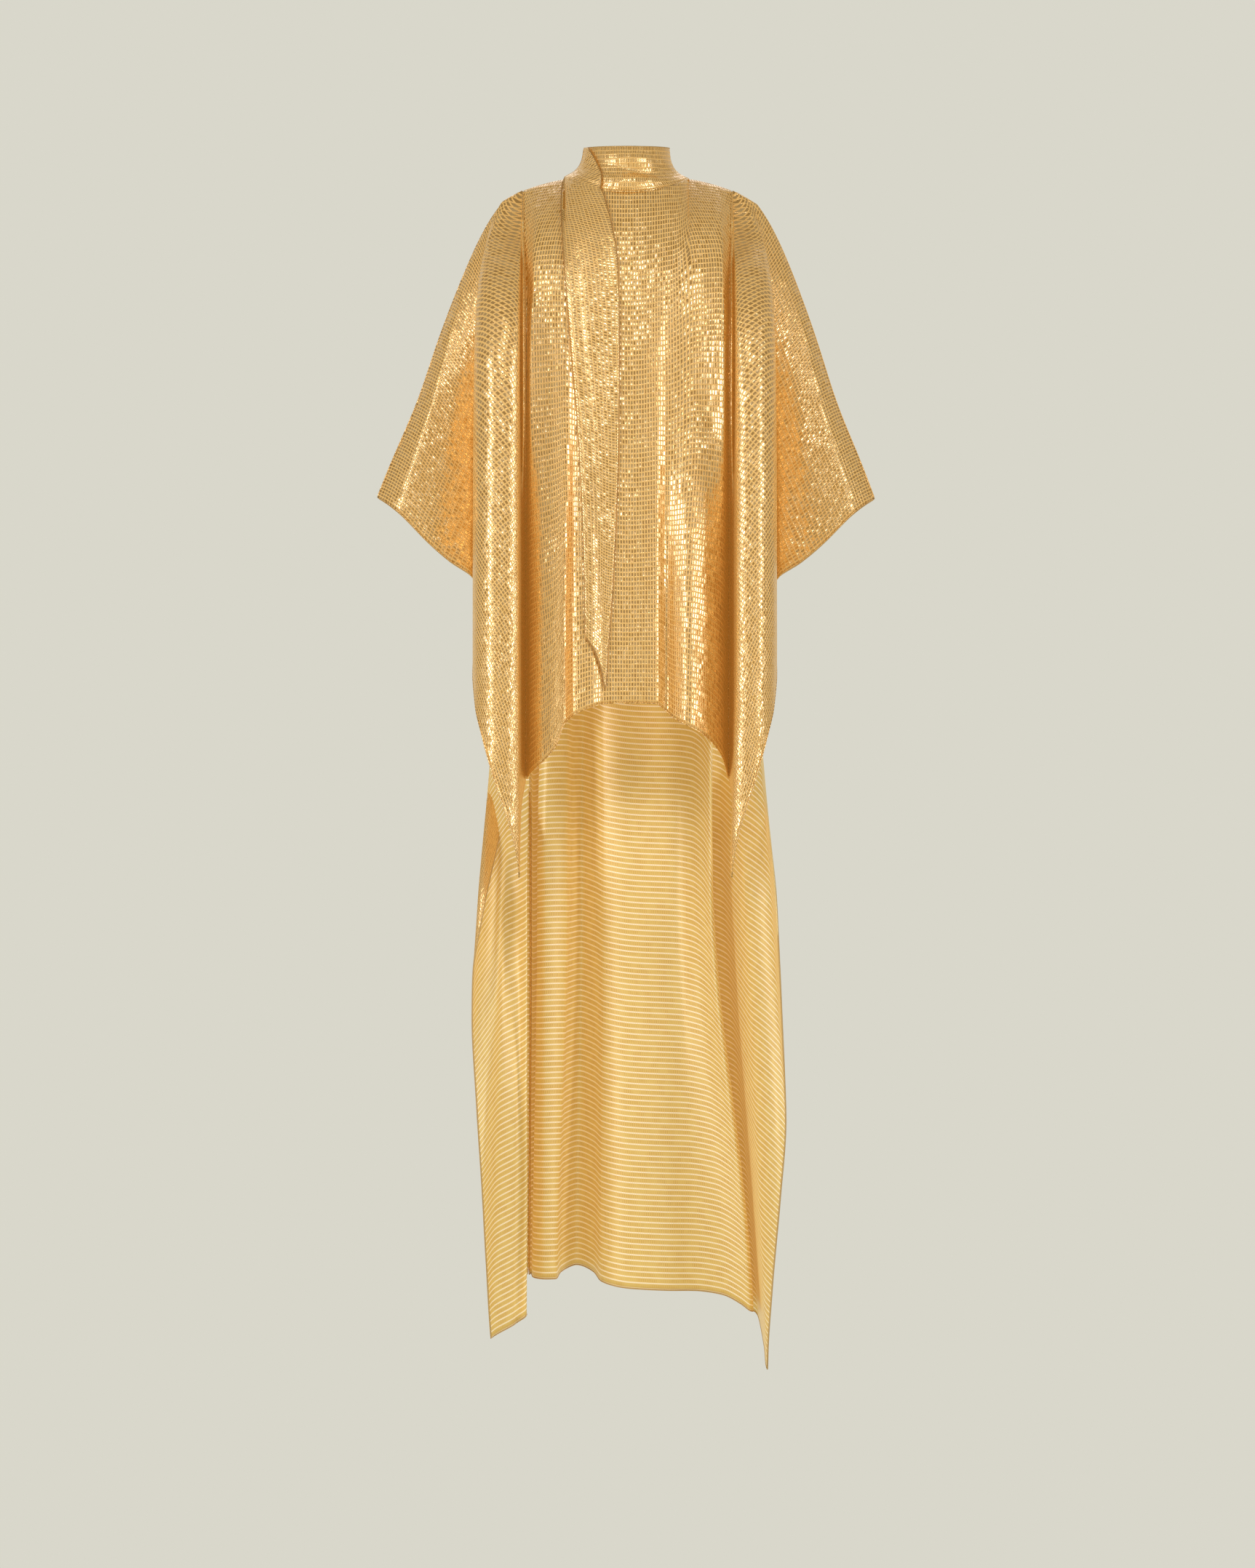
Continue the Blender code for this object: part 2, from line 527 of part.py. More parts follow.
def gold_material(name, colour, roughness):
    """Metallic woven cloth."""
    material = bpy.data.materials.new(name)
    material.use_nodes = True
    shader = material.node_tree.nodes["Principled BSDF"]
    shader.inputs["Base Color"].default_value = (*colour, 1.0)
    shader.inputs["Metallic"].default_value = 0.7
    shader.inputs["Roughness"].default_value = roughness
    material.diffuse_color = (*colour, 1.0)
    return material


def cloth_piece(name, points, material, collection):
    """Named piece of cloth: a grid laid on the points, its meeting edges merged, made a wall."""
    rows, columns = points.shape[0] - 1, points.shape[1] - 1
    cloth = bmesh.new()
    bmesh.ops.create_grid(cloth, x_segments=columns, y_segments=rows, size=1.0)
    for vertex in cloth.verts:
        i = round((1 - vertex.co.y) / 2 * rows)
        j = round((vertex.co.x + 1) / 2 * columns)
        vertex.co = points[i, j]
    bmesh.ops.remove_doubles(cloth, verts=cloth.verts, dist=MERGE_DISTANCE)
    bmesh.ops.recalc_face_normals(cloth, faces=cloth.faces)
    mesh = bpy.data.meshes.new(name)
    cloth.to_mesh(mesh)
    cloth.free()
    mesh.materials.append(material)
    mesh.shade_smooth()
    piece = bpy.data.objects.new(name, mesh)
    collection.objects.link(piece)
    wall = piece.modifiers.new("wall", "SOLIDIFY")
    wall.thickness = CLOTH_WALL
    wall.offset = 0.0
    wall.use_even_offset = False
    return piece


def even_places(table, columns):
    """Places of a body's grid, closer together where the table's rows are."""
    places = column(table, "place")
    return np.interp(np.linspace(0, len(places) - 1, columns + 1), np.arange(len(places)), places)


def laid_out(across, down):
    """Every place of a grid from its columns and rows."""
    return across[None, :] + 0 * down[:, None], down[:, None] + 0 * across[None, :]


def make_bodies(material, collection):
    """Front and back panels."""
    front = laid_out(even_places(FRONT_BODY, FRONT_COLUMNS), rows_down(FRONT_ROWS))
    cloth_piece("front_body", front_body_shape(*front), material, collection)
    back = laid_out(even_places(BACK_BODY, BACK_COLUMNS), rows_down(BACK_ROWS))
    cloth_piece("back_body", back_body_shape(*back), material, collection)


def make_wings(material, collection):
    """Front and back halves of both sleeves."""
    backs = ((-1, "left", BACK_FOLDS_LEFT, BACK_SEAM_LEFT, BACK_LENGTH_LEFT),
             (1, "right", BACK_FOLDS_RIGHT, BACK_SEAM_RIGHT, BACK_LENGTH_RIGHT))
    for side, word, folds, seam, length in backs:
        r, angle = wing_places(FRONT_FOLDS, FRONT_SEAM_LENGTH, FRONT_LENGTH, FRONT_ROWS)
        cloth_piece("wing_front_" + word, wing_shape(r, angle, FRONT_FOLDS, FRONT_SEAM, -1, side),
                    material, collection)
        r, angle = wing_places(folds, length, length, BACK_ROWS)
        cloth_piece("wing_back_" + word, wing_shape(r, angle, folds, seam, 1, side), material, collection)


def make_collar(material, collection):
    """Funnel collar, one stretch round the neck."""
    turn, height = laid_out(np.linspace(0, 1, COLLAR_GRID[0] + 1), np.linspace(1, 0, COLLAR_GRID[1] + 1))
    cloth_piece("collar", collar_shape(turn, height), material, collection)


def make_scarf(material, collection):
    """Hanging end of the scarf."""
    cloth_piece("scarf", scarf_shape(*SCARF_GRID), material, collection)


def main():
    """Makes the kaftan in its own collection."""
    for thing in list(bpy.data.objects):
        bpy.data.objects.remove(thing)
    collection = bpy.data.collections.new("kaftan")
    bpy.context.scene.collection.children.link(collection)
    cloth = gold_material("gold_cloth", CLOTH_GOLD, 0.42)
    scarf = gold_material("scarf_cloth", SCARF_GOLD, 0.38)
    make_bodies(cloth, collection)
    make_wings(cloth, collection)
    make_collar(cloth, collection)
    make_scarf(scarf, collection)


main()
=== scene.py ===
"""Looks of the worn kaftan: fine cloth shells with their weave, hems and seams, and the studio stage.

Run as a script in Blender, or read as an add-on: the panel stands in the 3D view's sidebar.
"""
import math

import bpy
import numpy as np
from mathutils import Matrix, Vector


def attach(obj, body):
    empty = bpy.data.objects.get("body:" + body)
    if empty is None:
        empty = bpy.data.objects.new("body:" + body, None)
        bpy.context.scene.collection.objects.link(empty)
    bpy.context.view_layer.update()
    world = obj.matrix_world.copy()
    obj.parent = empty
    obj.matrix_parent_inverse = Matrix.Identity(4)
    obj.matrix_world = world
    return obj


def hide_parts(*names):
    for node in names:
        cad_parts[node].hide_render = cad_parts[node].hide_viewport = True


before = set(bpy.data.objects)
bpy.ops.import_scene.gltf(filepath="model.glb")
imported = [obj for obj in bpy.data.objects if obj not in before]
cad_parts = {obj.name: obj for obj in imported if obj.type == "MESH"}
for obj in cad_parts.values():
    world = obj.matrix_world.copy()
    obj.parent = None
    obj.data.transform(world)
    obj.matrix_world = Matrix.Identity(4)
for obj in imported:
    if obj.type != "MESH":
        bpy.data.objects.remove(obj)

bl_info = {
    "name": "Worn Kaftan",
    "version": (1, 0, 0),
    "blender": (4, 5, 0),
    "location": "View3D > Sidebar > Kaftan",
    "description": "Builds the cloth, the hems and the studio stage of a worn kaftan",
    "category": "Object",
}

SIDE_WORDS = ((-1, "left"), (1, "right"))

# walls of the cloth, radii of the threads and gaps between the pieces, in metres
CLOTH_WALL = 0.0015
SHELL_WALL = 0.0009
MERGE_DISTANCE = 0.00001
EDGE_THREAD = 0.0010
SEAM_THREAD = 0.0009
NECK_THREAD = 0.0016
NECK_SEAM_DROP = 0.0012
SCARF_THREAD = 0.0007
SCARF_LIFT = 0.0035
SEAM_GAP = 0.0003
SEAM_SPARE = 0.0001
SEAM_HALF = 0.5 * (CLOTH_WALL + SEAM_GAP) + SEAM_SPARE
EDGE_HALF = 0.0006
TOP_HALF = 0.0011
COLLAR_CLEAR = 0.5 * CLOTH_WALL + 2 * SEAM_GAP

# shoulders, neck, collar and sleeves, in metres, with the two angles in degrees
SHOULDER_HALF = 0.135
SHOULDER_HEIGHT = -0.0115
SHOULDER_SETTLE = 0.0065
SHOULDER_SETTLE_REACH = 0.03
NECK_HALF = 0.078
NECK_SIDE_HEIGHT = 0.003
NECK_FRONT_DEPTH = 0.080
NECK_FRONT_HEIGHT = -0.026
NECK_BACK_DEPTH = 0.058
NECK_BACK_HEIGHT = 0.004
NECK_EASE_DROP = 0.25
CHEST_SOFT_DROP = 0.085
COLLAR_TOP = 0.0335
COLLAR_RISE = 0.0195
CUFF_WIDTH = 0.47
FRONT_SEAM_LENGTH = 0.746
FRONT_LENGTH = 0.7546
BACK_LENGTH_LEFT = 1.395
BACK_LENGTH_RIGHT = 1.4355
BACK_SAG = -0.055
ARM_DIP = 0.0035
ARM_DIP_REACH = 0.30
ARM_DIP_LENGTH = 0.07
SEAM_ANGLE = 8.0
FOLD_SHIFT = 4.0

# shares and powers that shape them, and how many times the weave's rows are evened out
NECK_PLACE = 0.60
NECK_DIP_POWER = 1.5
NECK_ROUND_POWER = 0.9
SHOULDER_POWER = 1.4
SEAM_HOLD_POWER = 8
CUFF_TAKE_UP = 0.08
FRONT_DOME = 0.58
BACK_DOME = 0.36
LEAST_DROP_SHARE = 0.16
LEAST_ACROSS_SHARE = 0.04
EVENED_TIMES = 30

# the scarf: where it starts and ends, in metres down, and how its place on the front body is found
SCARF_START = 0.0080
SCARF_END = (0.594, 0.661)
SCARF_END_POWER = 1.35
SCARF_GUIDES = (6, 36)
SCARF_PLACES = (-0.74, 0.0, 297)
LIFT_STEP = 0.002
PLACE_TRIES = 6
FIRST_DOWN = 0.02
LEAST_DOWN = 0.004

# cells of the grids across and down, and the powers that draw their rows together at the top
FRONT_BODY_GRID = (130, 120)
BACK_BODY_GRID = (160, 170)
FRONT_WING_GRID = (120, 110)
BACK_WING_GRID = (140, 150)
COLLAR_GRID = (180, 30)
SCARF_GRID = (24, 12, 110)
BODY_ROW_POWER = 1.05
WING_ROW_POWER = 1.15
SCARF_ROW_POWER = 1.1

# threads: sides, thin tips, a direction that none of them starts in, and lengths too small to count
THREAD_SIDES = 8
THREAD_TIP = 0.1
THREAD_TURNED_FROM = (0.31, 0.87, 0.38)
SAME_POINT = 0.000001
LEAST_LENGTH = 0.000000001

# faces: edges as parts of a spacing, noise as scale and detail, bumps as strength and metres
WHOLE = (0.0, 1.0)
THREAD_SOFT = 0.07
THREAD_BUMP = (0.4, 0.0004)
THREAD_ROUGHNESS = 0.5
BOW_DOWN = 0.5
DEEP_SHARE = 0.7
SWAY_NOISE = (22.0, 2.0)
BAR_EDGE = (0.09, 0.17)
BAR_LEAST = 0.55
BAR_BUMP = (0.35, 0.0003)
TICK_EDGE = (0.05, 0.40)
PATCH_NOISE = (60.0, 2.0)
PATCH_EDGE = (0.35, 0.65)
PATCH_LEAST = 0.35
INNER_METALLIC = 0.15
INNER_ROUGHNESS = 0.48
STITCH_LENGTH = 0.0016
STITCH_SLANT = 0.6
STITCH_EDGE = (0.1, 0.4)
STITCH_BUMP = (0.8, 0.0004)
TWIST_NOISE = (900.0, 1.0)
EDGE_METALLIC = 0.35
EDGE_ROUGHNESS = 0.5

# the stage in metres: paper floor and backdrop, camera and the height of its view; its sensor in mm
FLOOR_HEIGHT = -1.60
BACKDROP_NEAR = -7.0
BACKDROP_FAR = 5.5
BACKDROP_BEND = 1.0
BACKDROP_STEPS = 25
BACKDROP_TALL = 8.0
BACKDROP_HALF = 5.0
CAMERA_PLACE = (0.0, -4.6, -0.778)
VIEW_HEIGHT = 2.0266
SENSOR_WIDTH = 36.0

# soft boxes: their light's colour, places and sizes in metres, power in watts
LAMP_COLOUR = (0.92, 0.98, 1.20)
LAMPS = (
    ("name", "place", "target", "size", "power"),
    ("lamp_left", (-2.6, -2.2, -0.2), (0.0, 0.0, -0.6), (0.75, 1.8), 46.0),
    ("lamp_right", (2.7, -2.3, -0.2), (0.0, 0.0, -0.6), (0.65, 1.7), 40.0),
    ("lamp_front", (-0.2, -4.3, 1.6), (0.0, 0.0, -0.5), (1.1, 0.40), 28.0),
    ("lamp_back", (0.0, 2.4, 1.8), (0.0, 0.0, -0.7), (2.0, 1.2), 11.0),
)

# where a wing passes from one rule to the next: degrees off the grain, metres from the shoulder
SEAM_ANGLES = (8, 22)
SHIFT_ANGLES = (8, 20)
TUCK_ANGLES = (14, 28)
HANGING_ANGLES = (38, 44)
ARM_ANGLES = (66, 90)
TAKE_UP_ANGLES = (70, 90)
FOLDED_REACH = (0.04, 0.34)
HANGING_REACH = (0.45, 0.75)
SHIFT_REACH = (0.55, 0.85)
TUCK_REACH = (0.60, 0.89)
MID_REACH = (0.70, 0.92)
FAR_REACH = (0.92, 1.25)
EDGE_REACH = (0.05, 0.15)

# what the left (-1) and the right side (1) have of their own: share of the front folds' swell, how far
# the front point leans inward, and how far the arm line leans and swells outward
SIDES = {-1: (1.000, 0.001, 0.0090, 0.0020), 1: (0.885, 0.006, -0.0095, 0.0060)}

# tables, with their headings first; between their rows the values run smoothly

# the dropped shoulder seam: along = distance down the seam, inward = towards the centre line,
# out = forward of the arm plane on the front, behind it on the back
FRONT_SEAM = (
    ("along", "inward", "out"),
    (0.00, 0.000, 0.0000),
    (0.06, 0.002, 0.0410),
    (0.14, 0.005, 0.0820),
    (0.20, 0.006, 0.0980),
    (0.26, 0.006, 0.1030),
    (0.32, 0.006, 0.0930),
    (0.40, 0.005, 0.0550),
    (0.50, 0.004, 0.0130),
    (0.60, 0.004, 0.0004),
    (0.80, 0.004, 0.0002),
)
BACK_SEAM_TOP = (
    ("along", "inward", "out"),
    (0.00, 0.000, 0.0000),
    (0.06, 0.002, 0.0300),
    (0.14, 0.005, 0.0450),
    (0.27, 0.006, 0.0004),
)
BACK_SEAM_LEFT = BACK_SEAM_TOP + (
    (0.50, 0.004, 0.0002),
    (0.62, 0.005, 0.0250),
    (0.78, 0.007, 0.0900),
    (1.00, 0.007, 0.1000),
    (1.25, 0.006, 0.0950),
    (1.50, 0.004, 0.0850),
)
BACK_SEAM_RIGHT = BACK_SEAM_TOP + (
    (0.40, 0.007, 0.0060),
    (0.50, 0.010, 0.0240),
    (0.60, 0.016, 0.0520),
    (0.70, 0.026, 0.0820),
    (0.80, 0.032, 0.1050),
    (1.00, 0.020, 0.1150),
    (1.25, -0.006, 0.1150),
    (1.50, -0.031, 0.1150),
)

# folds of a wing, one row per fold line through the top of the shoulder seam:
# angle = off the grain in degrees, lean = outward per metre, swell = outward soon after the shoulder,
# soft = length over which it swells, near, mid and far = distance from the arm plane
# about 0.6, 0.9 and 1.3 m down; a table without mid and far keeps the near distance
FRONT_FOLDS = (
    ("angle", "lean", "swell", "soft", "near"),
    (8.0, 0.0000, 0.0000, 0.060, 0.000),
    (12.0, 0.0000, -0.0006, 0.060, 0.040),
    (16.0, 0.0000, -0.0008, 0.060, 0.075),
    (21.0, 0.0000, -0.0004, 0.060, 0.105),
    (26.0, 0.0000, 0.0000, 0.060, 0.130),
    (31.9, 0.0000, 0.0005, 0.060, 0.150),
    (33.9, 0.0000, 0.0077, 0.060, 0.157),
    (35.5, 0.0000, 0.0195, 0.060, 0.160),
    (36.9, 0.0000, 0.0310, 0.070, 0.159),
    (39.2, 0.0000, 0.0455, 0.080, 0.150),
    (41.5, 0.0000, 0.0550, 0.080, 0.132),
    (45.0, 0.0010, 0.0585, 0.070, 0.105),
    (52.0, 0.0010, 0.0575, 0.060, 0.060),
    (60.0, 0.0020, 0.0550, 0.050, 0.026),
    (66.0, 0.0100, 0.0535, 0.048, 0.002),
    (70.0, 0.0270, 0.0520, 0.045, 0.018),
    (74.0, 0.1000, 0.0450, 0.045, 0.026),
    (78.0, 0.1720, 0.0390, 0.042, 0.031),
    (84.0, 0.2620, 0.0340, 0.042, 0.032),
    (87.0, 0.3070, 0.0315, 0.042, 0.021),
    (90.0, 0.3525, 0.0290, 0.042, 0.000),
)
BACK_SLEEVE_FOLDS = (
    (38.5, 0.0000, 0.0160, 0.060, 0.162, 0.050, 0.000),
    (41.0, 0.0000, 0.0470, 0.060, 0.152, 0.050, 0.000),
    (44.0, 0.0000, 0.0560, 0.060, 0.130, 0.050, 0.000),
    (51.0, 0.0010, 0.0560, 0.060, 0.075, 0.050, 0.000),
    (60.0, 0.0020, 0.0545, 0.050, 0.020, 0.020, 0.000),
    (66.0, 0.0100, 0.0530, 0.048, 0.004, 0.004, 0.004),
    (70.0, 0.0270, 0.0520, 0.045, 0.002, 0.002, 0.002),
    (74.0, 0.1000, 0.0450, 0.045, 0.018, 0.018, 0.018),
    (78.0, 0.1720, 0.0390, 0.042, 0.032, 0.032, 0.032),
    (84.0, 0.2620, 0.0340, 0.042, 0.034, 0.034, 0.034),
    (87.0, 0.3070, 0.0315, 0.042, 0.021, 0.021, 0.021),
    (90.0, 0.3525, 0.0290, 0.042, 0.000, 0.000, 0.000),
)
BACK_FOLDS_LEFT = (
    ("angle", "lean", "swell", "soft", "near", "mid", "far"),
    (8.0, 0.0000, 0.000, 0.060, 0.000, 0.000, 0.000),
    (10.5, 0.0240, 0.000, 0.060, 0.030, 0.026, 0.020),
    (12.8, 0.0130, 0.000, 0.060, 0.055, -0.010, -0.030),
    (14.8, -0.0025, 0.000, 0.060, 0.075, -0.046, -0.062),
    (16.6, 0.0070, 0.000, 0.060, 0.090, -0.004, -0.040),
    (18.6, 0.0268, 0.000, 0.060, 0.105, 0.020, -0.046),
    (20.0, 0.0325, 0.000, 0.060, 0.115, 0.026, -0.056),
    (21.7, 0.0390, 0.000, 0.060, 0.125, 0.034, -0.066),
    (23.6, 0.0480, 0.000, 0.060, 0.132, 0.030, -0.070),
    (26.3, 0.0600, 0.000, 0.060, 0.142, 0.012, -0.078),
    (28.0, 0.0625, 0.000, 0.060, 0.148, -0.004, -0.082),
    (30.0, 0.0560, 0.000, 0.060, 0.153, -0.010, -0.080),
    (33.0, 0.0440, 0.000, 0.060, 0.158, 0.005, -0.060),
    (36.0, 0.0280, 0.004, 0.060, 0.162, 0.030, 0.000),
) + BACK_SLEEVE_FOLDS
BACK_FOLDS_RIGHT = (
    ("angle", "lean", "swell", "soft", "near", "mid", "far"),
    (8.0, 0.0000, 0.000, 0.060, 0.000, 0.000, 0.000),
    (10.5, -0.0020, 0.000, 0.060, 0.030, 0.042, 0.040),
    (13.0, 0.0120, 0.000, 0.060, 0.055, 0.056, 0.052),
    (15.5, 0.0190, 0.000, 0.060, 0.080, 0.004, -0.030),
    (18.1, 0.0245, 0.000, 0.060, 0.100, -0.012, -0.064),
    (19.5, 0.0328, 0.000, 0.060, 0.112, -0.014, -0.074),
    (21.3, 0.0444, 0.000, 0.060, 0.122, -0.015, -0.080),
    (23.4, 0.0549, 0.000, 0.060, 0.132, -0.025, -0.083),
    (26.0, 0.0572, 0.000, 0.060, 0.141, -0.040, -0.085),
    (28.7, 0.0587, 0.000, 0.060, 0.150, -0.050, -0.085),
    (31.5, 0.0598, 0.000, 0.060, 0.156, -0.045, -0.075),
    (35.6, 0.0600, 0.000, 0.060, 0.162, 0.010, -0.020),
) + BACK_SLEEVE_FOLDS

# sections of the bodies, one row per place from one seam (-1) to the other (1)
FRONT_BODY = (
    ("place", "chest_x", "chest_y", "hem_x", "hem_y", "hem_z"),
    (-1.00, -0.1300, 0.000, -0.1305, 0.000, -0.7750),
    (-0.93, -0.1265, -0.050, -0.1265, -0.058, -0.7700),
    (-0.85, -0.1225, -0.088, -0.1215, -0.097, -0.7635),
    (-0.75, -0.1070, -0.103, -0.1075, -0.112, -0.7503),
    (-0.66, -0.0910, -0.108, -0.0905, -0.113, -0.7300),
    (-0.58, -0.0770, -0.108, -0.0800, -0.112, -0.7030),
    (-0.48, -0.0640, -0.113, -0.0660, -0.126, -0.6900),
    (-0.38, -0.0500, -0.116, -0.0480, -0.128, -0.6820),
    (-0.25, -0.0330, -0.118, -0.0300, -0.122, -0.6770),
    (-0.10, -0.0130, -0.120, -0.0100, -0.121, -0.6760),
    (0.10, 0.0130, -0.120, 0.0120, -0.122, -0.6760),
    (0.28, 0.0370, -0.117, 0.0370, -0.120, -0.6770),
    (0.37, 0.0490, -0.113, 0.0490, -0.109, -0.6860),
    (0.46, 0.0610, -0.111, 0.0610, -0.120, -0.6960),
    (0.57, 0.0760, -0.110, 0.0770, -0.130, -0.7050),
    (0.67, 0.0900, -0.108, 0.0915, -0.124, -0.7130),
    (0.78, 0.1070, -0.102, 0.1065, -0.112, -0.7255),
    (0.88, 0.1215, -0.086, 0.1185, -0.092, -0.7430),
    (0.94, 0.1260, -0.050, 0.1240, -0.052, -0.7590),
    (1.00, 0.1300, 0.000, 0.1270, 0.000, -0.7720),
)
BACK_BODY = (
    ("place", "high_x", "high_y", "mid_x", "mid_y", "low_x", "low_y", "hem_z"),
    (-1.00, -0.1300, 0.000, -0.1270, 0.100, -0.1300, 0.085, -1.4340),
    (-0.95, -0.1240, 0.030, -0.1255, 0.115, -0.1290, 0.095, -1.4300),
    (-0.90, -0.1190, 0.060, -0.1215, 0.132, -0.1280, 0.100, -1.4280),
    (-0.84, -0.1120, 0.086, -0.1165, 0.146, -0.1270, 0.098, -1.4270),
    (-0.77, -0.1000, 0.101, -0.1185, 0.088, -0.1240, 0.072, -1.4262),
    (-0.68, -0.0870, 0.112, -0.1070, 0.070, -0.1090, 0.058, -1.4260),
    (-0.59, -0.0740, 0.119, -0.0800, 0.085, -0.0940, 0.064, -1.4260),
    (-0.54, -0.0670, 0.122, -0.0745, 0.120, -0.0895, 0.100, -1.4230),
    (-0.47, -0.0560, 0.126, -0.0610, 0.148, -0.0680, 0.138, -1.4175),
    (-0.38, -0.0440, 0.129, -0.0430, 0.125, -0.0450, 0.110, -1.4230),
    (-0.30, -0.0330, 0.131, -0.0300, 0.108, -0.0340, 0.075, -1.4310),
    (-0.12, -0.0110, 0.133, 0.0020, 0.098, 0.0030, 0.055, -1.4375),
    (0.12, 0.0180, 0.133, 0.0380, 0.100, 0.0500, 0.055, -1.4400),
    (0.36, 0.0500, 0.129, 0.0640, 0.098, 0.0900, 0.060, -1.4410),
    (0.54, 0.0740, 0.121, 0.0860, 0.084, 0.1240, 0.056, -1.4455),
    (0.68, 0.0930, 0.108, 0.1010, 0.066, 0.1480, 0.048, -1.4570),
    (0.77, 0.1060, 0.095, 0.1080, 0.056, 0.1590, 0.044, -1.4660),
    (0.84, 0.1130, 0.082, 0.1110, 0.062, 0.1640, 0.052, -1.4700),
    (0.90, 0.1175, 0.056, 0.1100, 0.079, 0.1630, 0.074, -1.4720),
    (0.95, 0.1225, 0.026, 0.1062, 0.093, 0.1605, 0.096, -1.4740),
    (1.00, 0.1300, 0.000, 0.1040, 0.112, 0.1590, 0.115, -1.4760),
)
# heights of the sections of both bodies, and the columns that hold them
FRONT_LEVELS = ((-0.25, "chest"), (-0.60, "hem"))
BACK_LEVELS = ((-0.28, "high"), (-0.90, "mid"), (-1.48, "low"))

# collar sections from the neck seam (height 0) to the top edge (height 1)
COLLAR = (
    ("height", "half_width", "front", "back"),
    (0.00, 0.0785, 0.0810, 0.0590),
    (0.16, 0.0665, 0.0830, 0.0580),
    (0.42, 0.0585, 0.0765, 0.0560),
    (0.66, 0.0555, 0.0755, 0.0545),
    (1.00, 0.0540, 0.0700, 0.0540),
)
# scarf edges on the collar, as places on the neckline
SCARF_COLLAR = (
    ("height", "left", "right"),
    (0.00, -0.600, -0.167),
    (0.33, -0.565, -0.215),
    (0.66, -0.540, -0.300),
    (1.00, -0.515, -0.417),
)
# scarf edges on the front body, as distances below the origin and from the centre line
SCARF_EDGES = (
    ("drop", "left", "right"),
    (0.0000, -0.0830, -0.0370),
    (0.0150, -0.0840, -0.0330),
    (0.0300, -0.0850, -0.0300),
    (0.0600, -0.0840, -0.0225),
    (0.1200, -0.0800, -0.0125),
    (0.2000, -0.0730, -0.0105),
    (0.2720, -0.0665, -0.0105),
    (0.3700, -0.0595, -0.0120),
    (0.4650, -0.0550, -0.0155),
    (0.5400, -0.0535, -0.0195),
    (0.6000, -0.0530, -0.0240),
    (0.6700, -0.0530, -0.0285),
)

# small creases, in metres of cloth and degrees, one a row: across, down, turn, length,
# width and depth; across and down are the middle of the crease, turn is its lean off the grain,
# length and width are its half extents, and depth is how far it stands out
FRONT_CREASES = (
    (-0.105, 0.22, 28.0, 0.080, 0.012, -0.0020),
    (0.036, 0.060, 80.0, 0.030, 0.014, 0.0016),
    (0.112, 0.26, -20.0, 0.070, 0.012, 0.0020),
    (0.100, 0.36, 35.0, 0.025, 0.006, -0.0015),
    (0.104, 0.37, -35.0, 0.025, 0.006, -0.0015),
)
BACK_CREASES = (
    (0.020, 0.60, 6.0, 0.250, 0.020, 0.0020),
    (0.070, 1.05, -4.0, 0.200, 0.016, -0.0015),
)
WING_CREASES = (
    (0.120, 0.12, 50.0, 0.060, 0.010, 0.0012),
    (0.230, 0.34, 36.0, 0.090, 0.010, -0.0010),
)
COLLAR_CREASES = (
    (0.015, 0.015, 86.0, 0.050, 0.007, 0.0022),
    (0.012, 0.031, 80.0, 0.045, 0.006, -0.0038),
    (0.060, 0.022, 60.0, 0.025, 0.006, -0.0020),
    (0.010, 0.045, 88.0, 0.060, 0.005, 0.0016),
    (-0.100, 0.020, 70.0, 0.050, 0.006, 0.0015),
)
SCARF_CREASES = (
    (0.018, 0.30, 1.5, 0.300, 0.008, -0.0016),
)


def column(table, place=0):
    """One column of a table as numbers, without its heading."""
    return np.array([row[place] for row in table[1:]], float)


def smooth(x, y, at):
    """Smooth curve through the points x, y that never overshoots them."""
    at = np.clip(np.asarray(at, float), x[0], x[-1])
    step = np.diff(x)
    slope = np.diff(y) / step
    same_way = slope[:-1] * slope[1:] > 0
    near = 2 * step[1:] + step[:-1]
    far = step[1:] + 2 * step[:-1]
    product = np.where(same_way, slope[:-1] * slope[1:], 0.0)
    below = np.where(same_way, near * slope[1:] + far * slope[:-1], 1.0)
    tangent = np.concatenate([slope[:1], (near + far) * product / below, slope[-1:]])
    i = np.clip(np.searchsorted(x, at, side="right") - 1, 0, len(x) - 2)
    part = (at - x[i]) / step[i]
    rise = part * part * (3 - 2 * part)
    leave = part * (1 - part) ** 2 * step[i] * tangent[i]
    arrive = part * part * (1 - part) * step[i] * tangent[i + 1]
    return (1 - rise) * y[i] + rise * y[i + 1] + leave - arrive


def track(table, at):
    """Values of a table's other columns where its first column has the value at."""
    return [smooth(column(table), column(table, place), at) for place in range(1, len(table[0]))]


def ease(start, end, at):
    """0 before start, 1 after end, smooth between."""
    part = np.clip((at - start) / (end - start), 0, 1)
    return part * part * (3 - 2 * part)


def apart(r):
    """Half the gap between front and back pieces at a distance from the top of the shoulder seam."""
    return EDGE_HALF + (TOP_HALF - EDGE_HALF) * (1 - ease(*EDGE_REACH, r))


def settle(r):
    """How much lower than on a straight line the cloth lies once it has rounded the shoulder."""
    return SHOULDER_SETTLE * (1 - np.exp(-r / SHOULDER_SETTLE_REACH))


